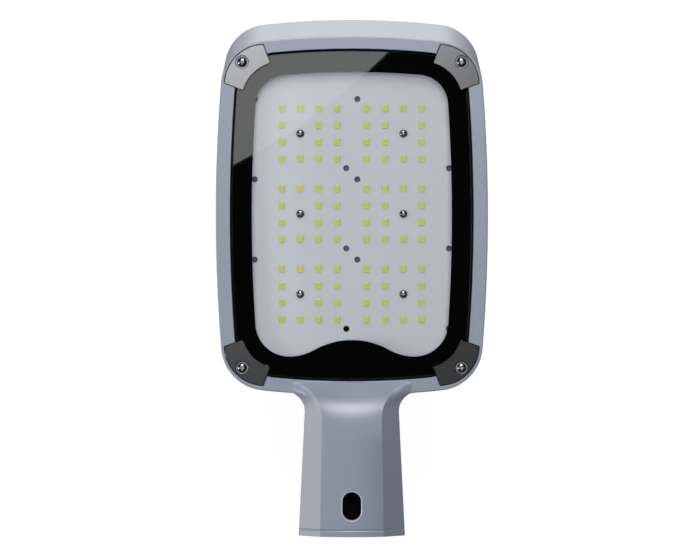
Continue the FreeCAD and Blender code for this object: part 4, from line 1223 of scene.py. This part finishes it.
# name: direction from the head, distance, width, height, colour, power
lamps = {
    "front_soft": ((0.02, -0.12, -0.99), 1.9, 1.3, 1.3, (1, 1, 1), 28.0),
    "nose_wide": ((0.0, -0.69, -0.72), 1.8, 1.0, 0.9, (1, 1, 1), 8.8),
    "nose_gloss": ((0.0, -0.61, -0.79), 1.8, 0.8, 0.75, (1, 1, 1), 25.0),
    "left_front": ((-0.83, 0.15, -0.53), 1.8, 0.45, 0.9, (1, 1, 1), 12.4),
    "left_side": ((-0.99, 0.10, 0.02), 1.4, 1.0, 0.6, (1, 0.86, 0.74), 4.9),
    "sky_nose": ((0.0, -0.85, 0.50), 1.8, 1.4, 0.6, (1, 1, 1), 19.8),
    "sky_fill": ((-0.35, 0.60, 0.72), 1.9, 1.2, 1.0, (1, 1, 1), 2.5),
}


def emission(finish, strength):
    sockets = {"Color": (1, 1, 1, 1), "Strength": strength}
    return finish.add("ShaderNodeEmission", sockets=sockets)


def glowing(name, strength=0.0):
    finish = material(name)
    return finish.show(emission(finish, strength))


def backdropFinish():
    # White in front, with the object's shadow, and clear from behind.
    floor = material("pale_backdrop")
    glow = emission(floor, studio["backdropGlow"])
    shade = studio["backdropColour"]
    matt = floor.add("ShaderNodeBsdfDiffuse", sockets={"Color": (shade, shade, shade, 1)})
    both = floor.add("ShaderNodeAddShader", sockets={0: glow, 1: matt})
    clear = floor.add("ShaderNodeBsdfTransparent")
    behind = floor.add("ShaderNodeNewGeometry", output="Backfacing")
    return floor.show(mixed(floor, behind, both, clear))


def stagePiece(name, finish, *seenBy):
    # Names and dresses the piece that was just added, and hides it from other kinds of ray.
    piece = bpy.context.object
    piece.name = name
    piece.data.materials.append(finish)
    for kind in ("camera", "diffuse", "glossy", "transmission", "shadow", "volume_scatter"):
        setattr(piece, f"visible_{kind}", kind in seenBy)
    return piece


def addDisc(radius, place):
    deselect()
    bpy.ops.mesh.primitive_circle_add(
        vertices=96, radius=radius, fill_type="NGON", location=place
    )


print("stage")
deselect()
bpy.ops.mesh.primitive_plane_add(
    size=studio["backdropSize"],
    location=(0, middle.y, solidBox[1].z + studio["backdropGap"]),
    rotation=(math.pi, 0, 0),
)
backdrop = stagePiece("backdrop", backdropFinish(), "camera")

cardPlace = (view["x"] + studio["cardX"], view["y"] + studio["cardY"], camera.location.z)
addDisc(studio["cardRadius"], cardPlace)
card = stagePiece(
    "reflected_card", glowing("card_glow", studio["cardGlow"]), "glossy", "transmission"
)

deselect()
bpy.ops.mesh.primitive_uv_sphere_add(
    segments=64, ring_count=32, radius=studio["roomRadius"], location=middle
)
edit()
bpy.ops.mesh.select_all(action="SELECT")
bpy.ops.mesh.bisect(plane_co=middle, plane_no=(0, 0, 1), clear_outer=True)
finishEdit()
darkRoom = stagePiece("dark_room", glowing("dark_room"), "glossy", "transmission", "diffuse")

addDisc(studio["flagRadius"], (0, middle.y, studio["flagHeight"]))
flag = stagePiece("dark_flag", glowing("dark_flag"), "glossy")

for lampName, (direction, distance, width, height, colour, power) in lamps.items():
    direction = Vector(direction).normalized()
    bpy.ops.object.light_add(type="AREA", location=middle + direction * distance)
    lamp = bpy.context.object
    lamp.name = lampName
    lamp.rotation_euler = direction.to_track_quat("Z", "Y").to_euler()
    lamp.data.shape = "RECTANGLE"
    lamp.data.size = width
    lamp.data.size_y = height
    lamp.data.energy = power
    lamp.data.color = colour
    lamp.visible_glossy = lamp.visible_transmission = lampName != plainLamp
    lamp.visible_diffuse = lampName != glossLamp

world = Finish(bpy.data.worlds.new("studio"))
bpy.context.scene.world = world.owner
seen, mirrored, refracted = (
    world.add("ShaderNodeLightPath", output=f"Is {kind} Ray")
    for kind in ("Camera", "Glossy", "Transmission")
)
white = world.add("ShaderNodeBackground", sockets={"Color": (1, 1, 1, 1), "Strength": 1.0})
room = world.add(
    "ShaderNodeBackground",
    sockets={"Color": studio["ambientColour"], "Strength": studio["ambient"]},
)
direct = seen.atLeast(mirrored).atLeast(refracted)
world.show(mixed(world, direct, room, white), "World")
bpy.context.scene.view_settings.view_transform = "Standard"

print("done")
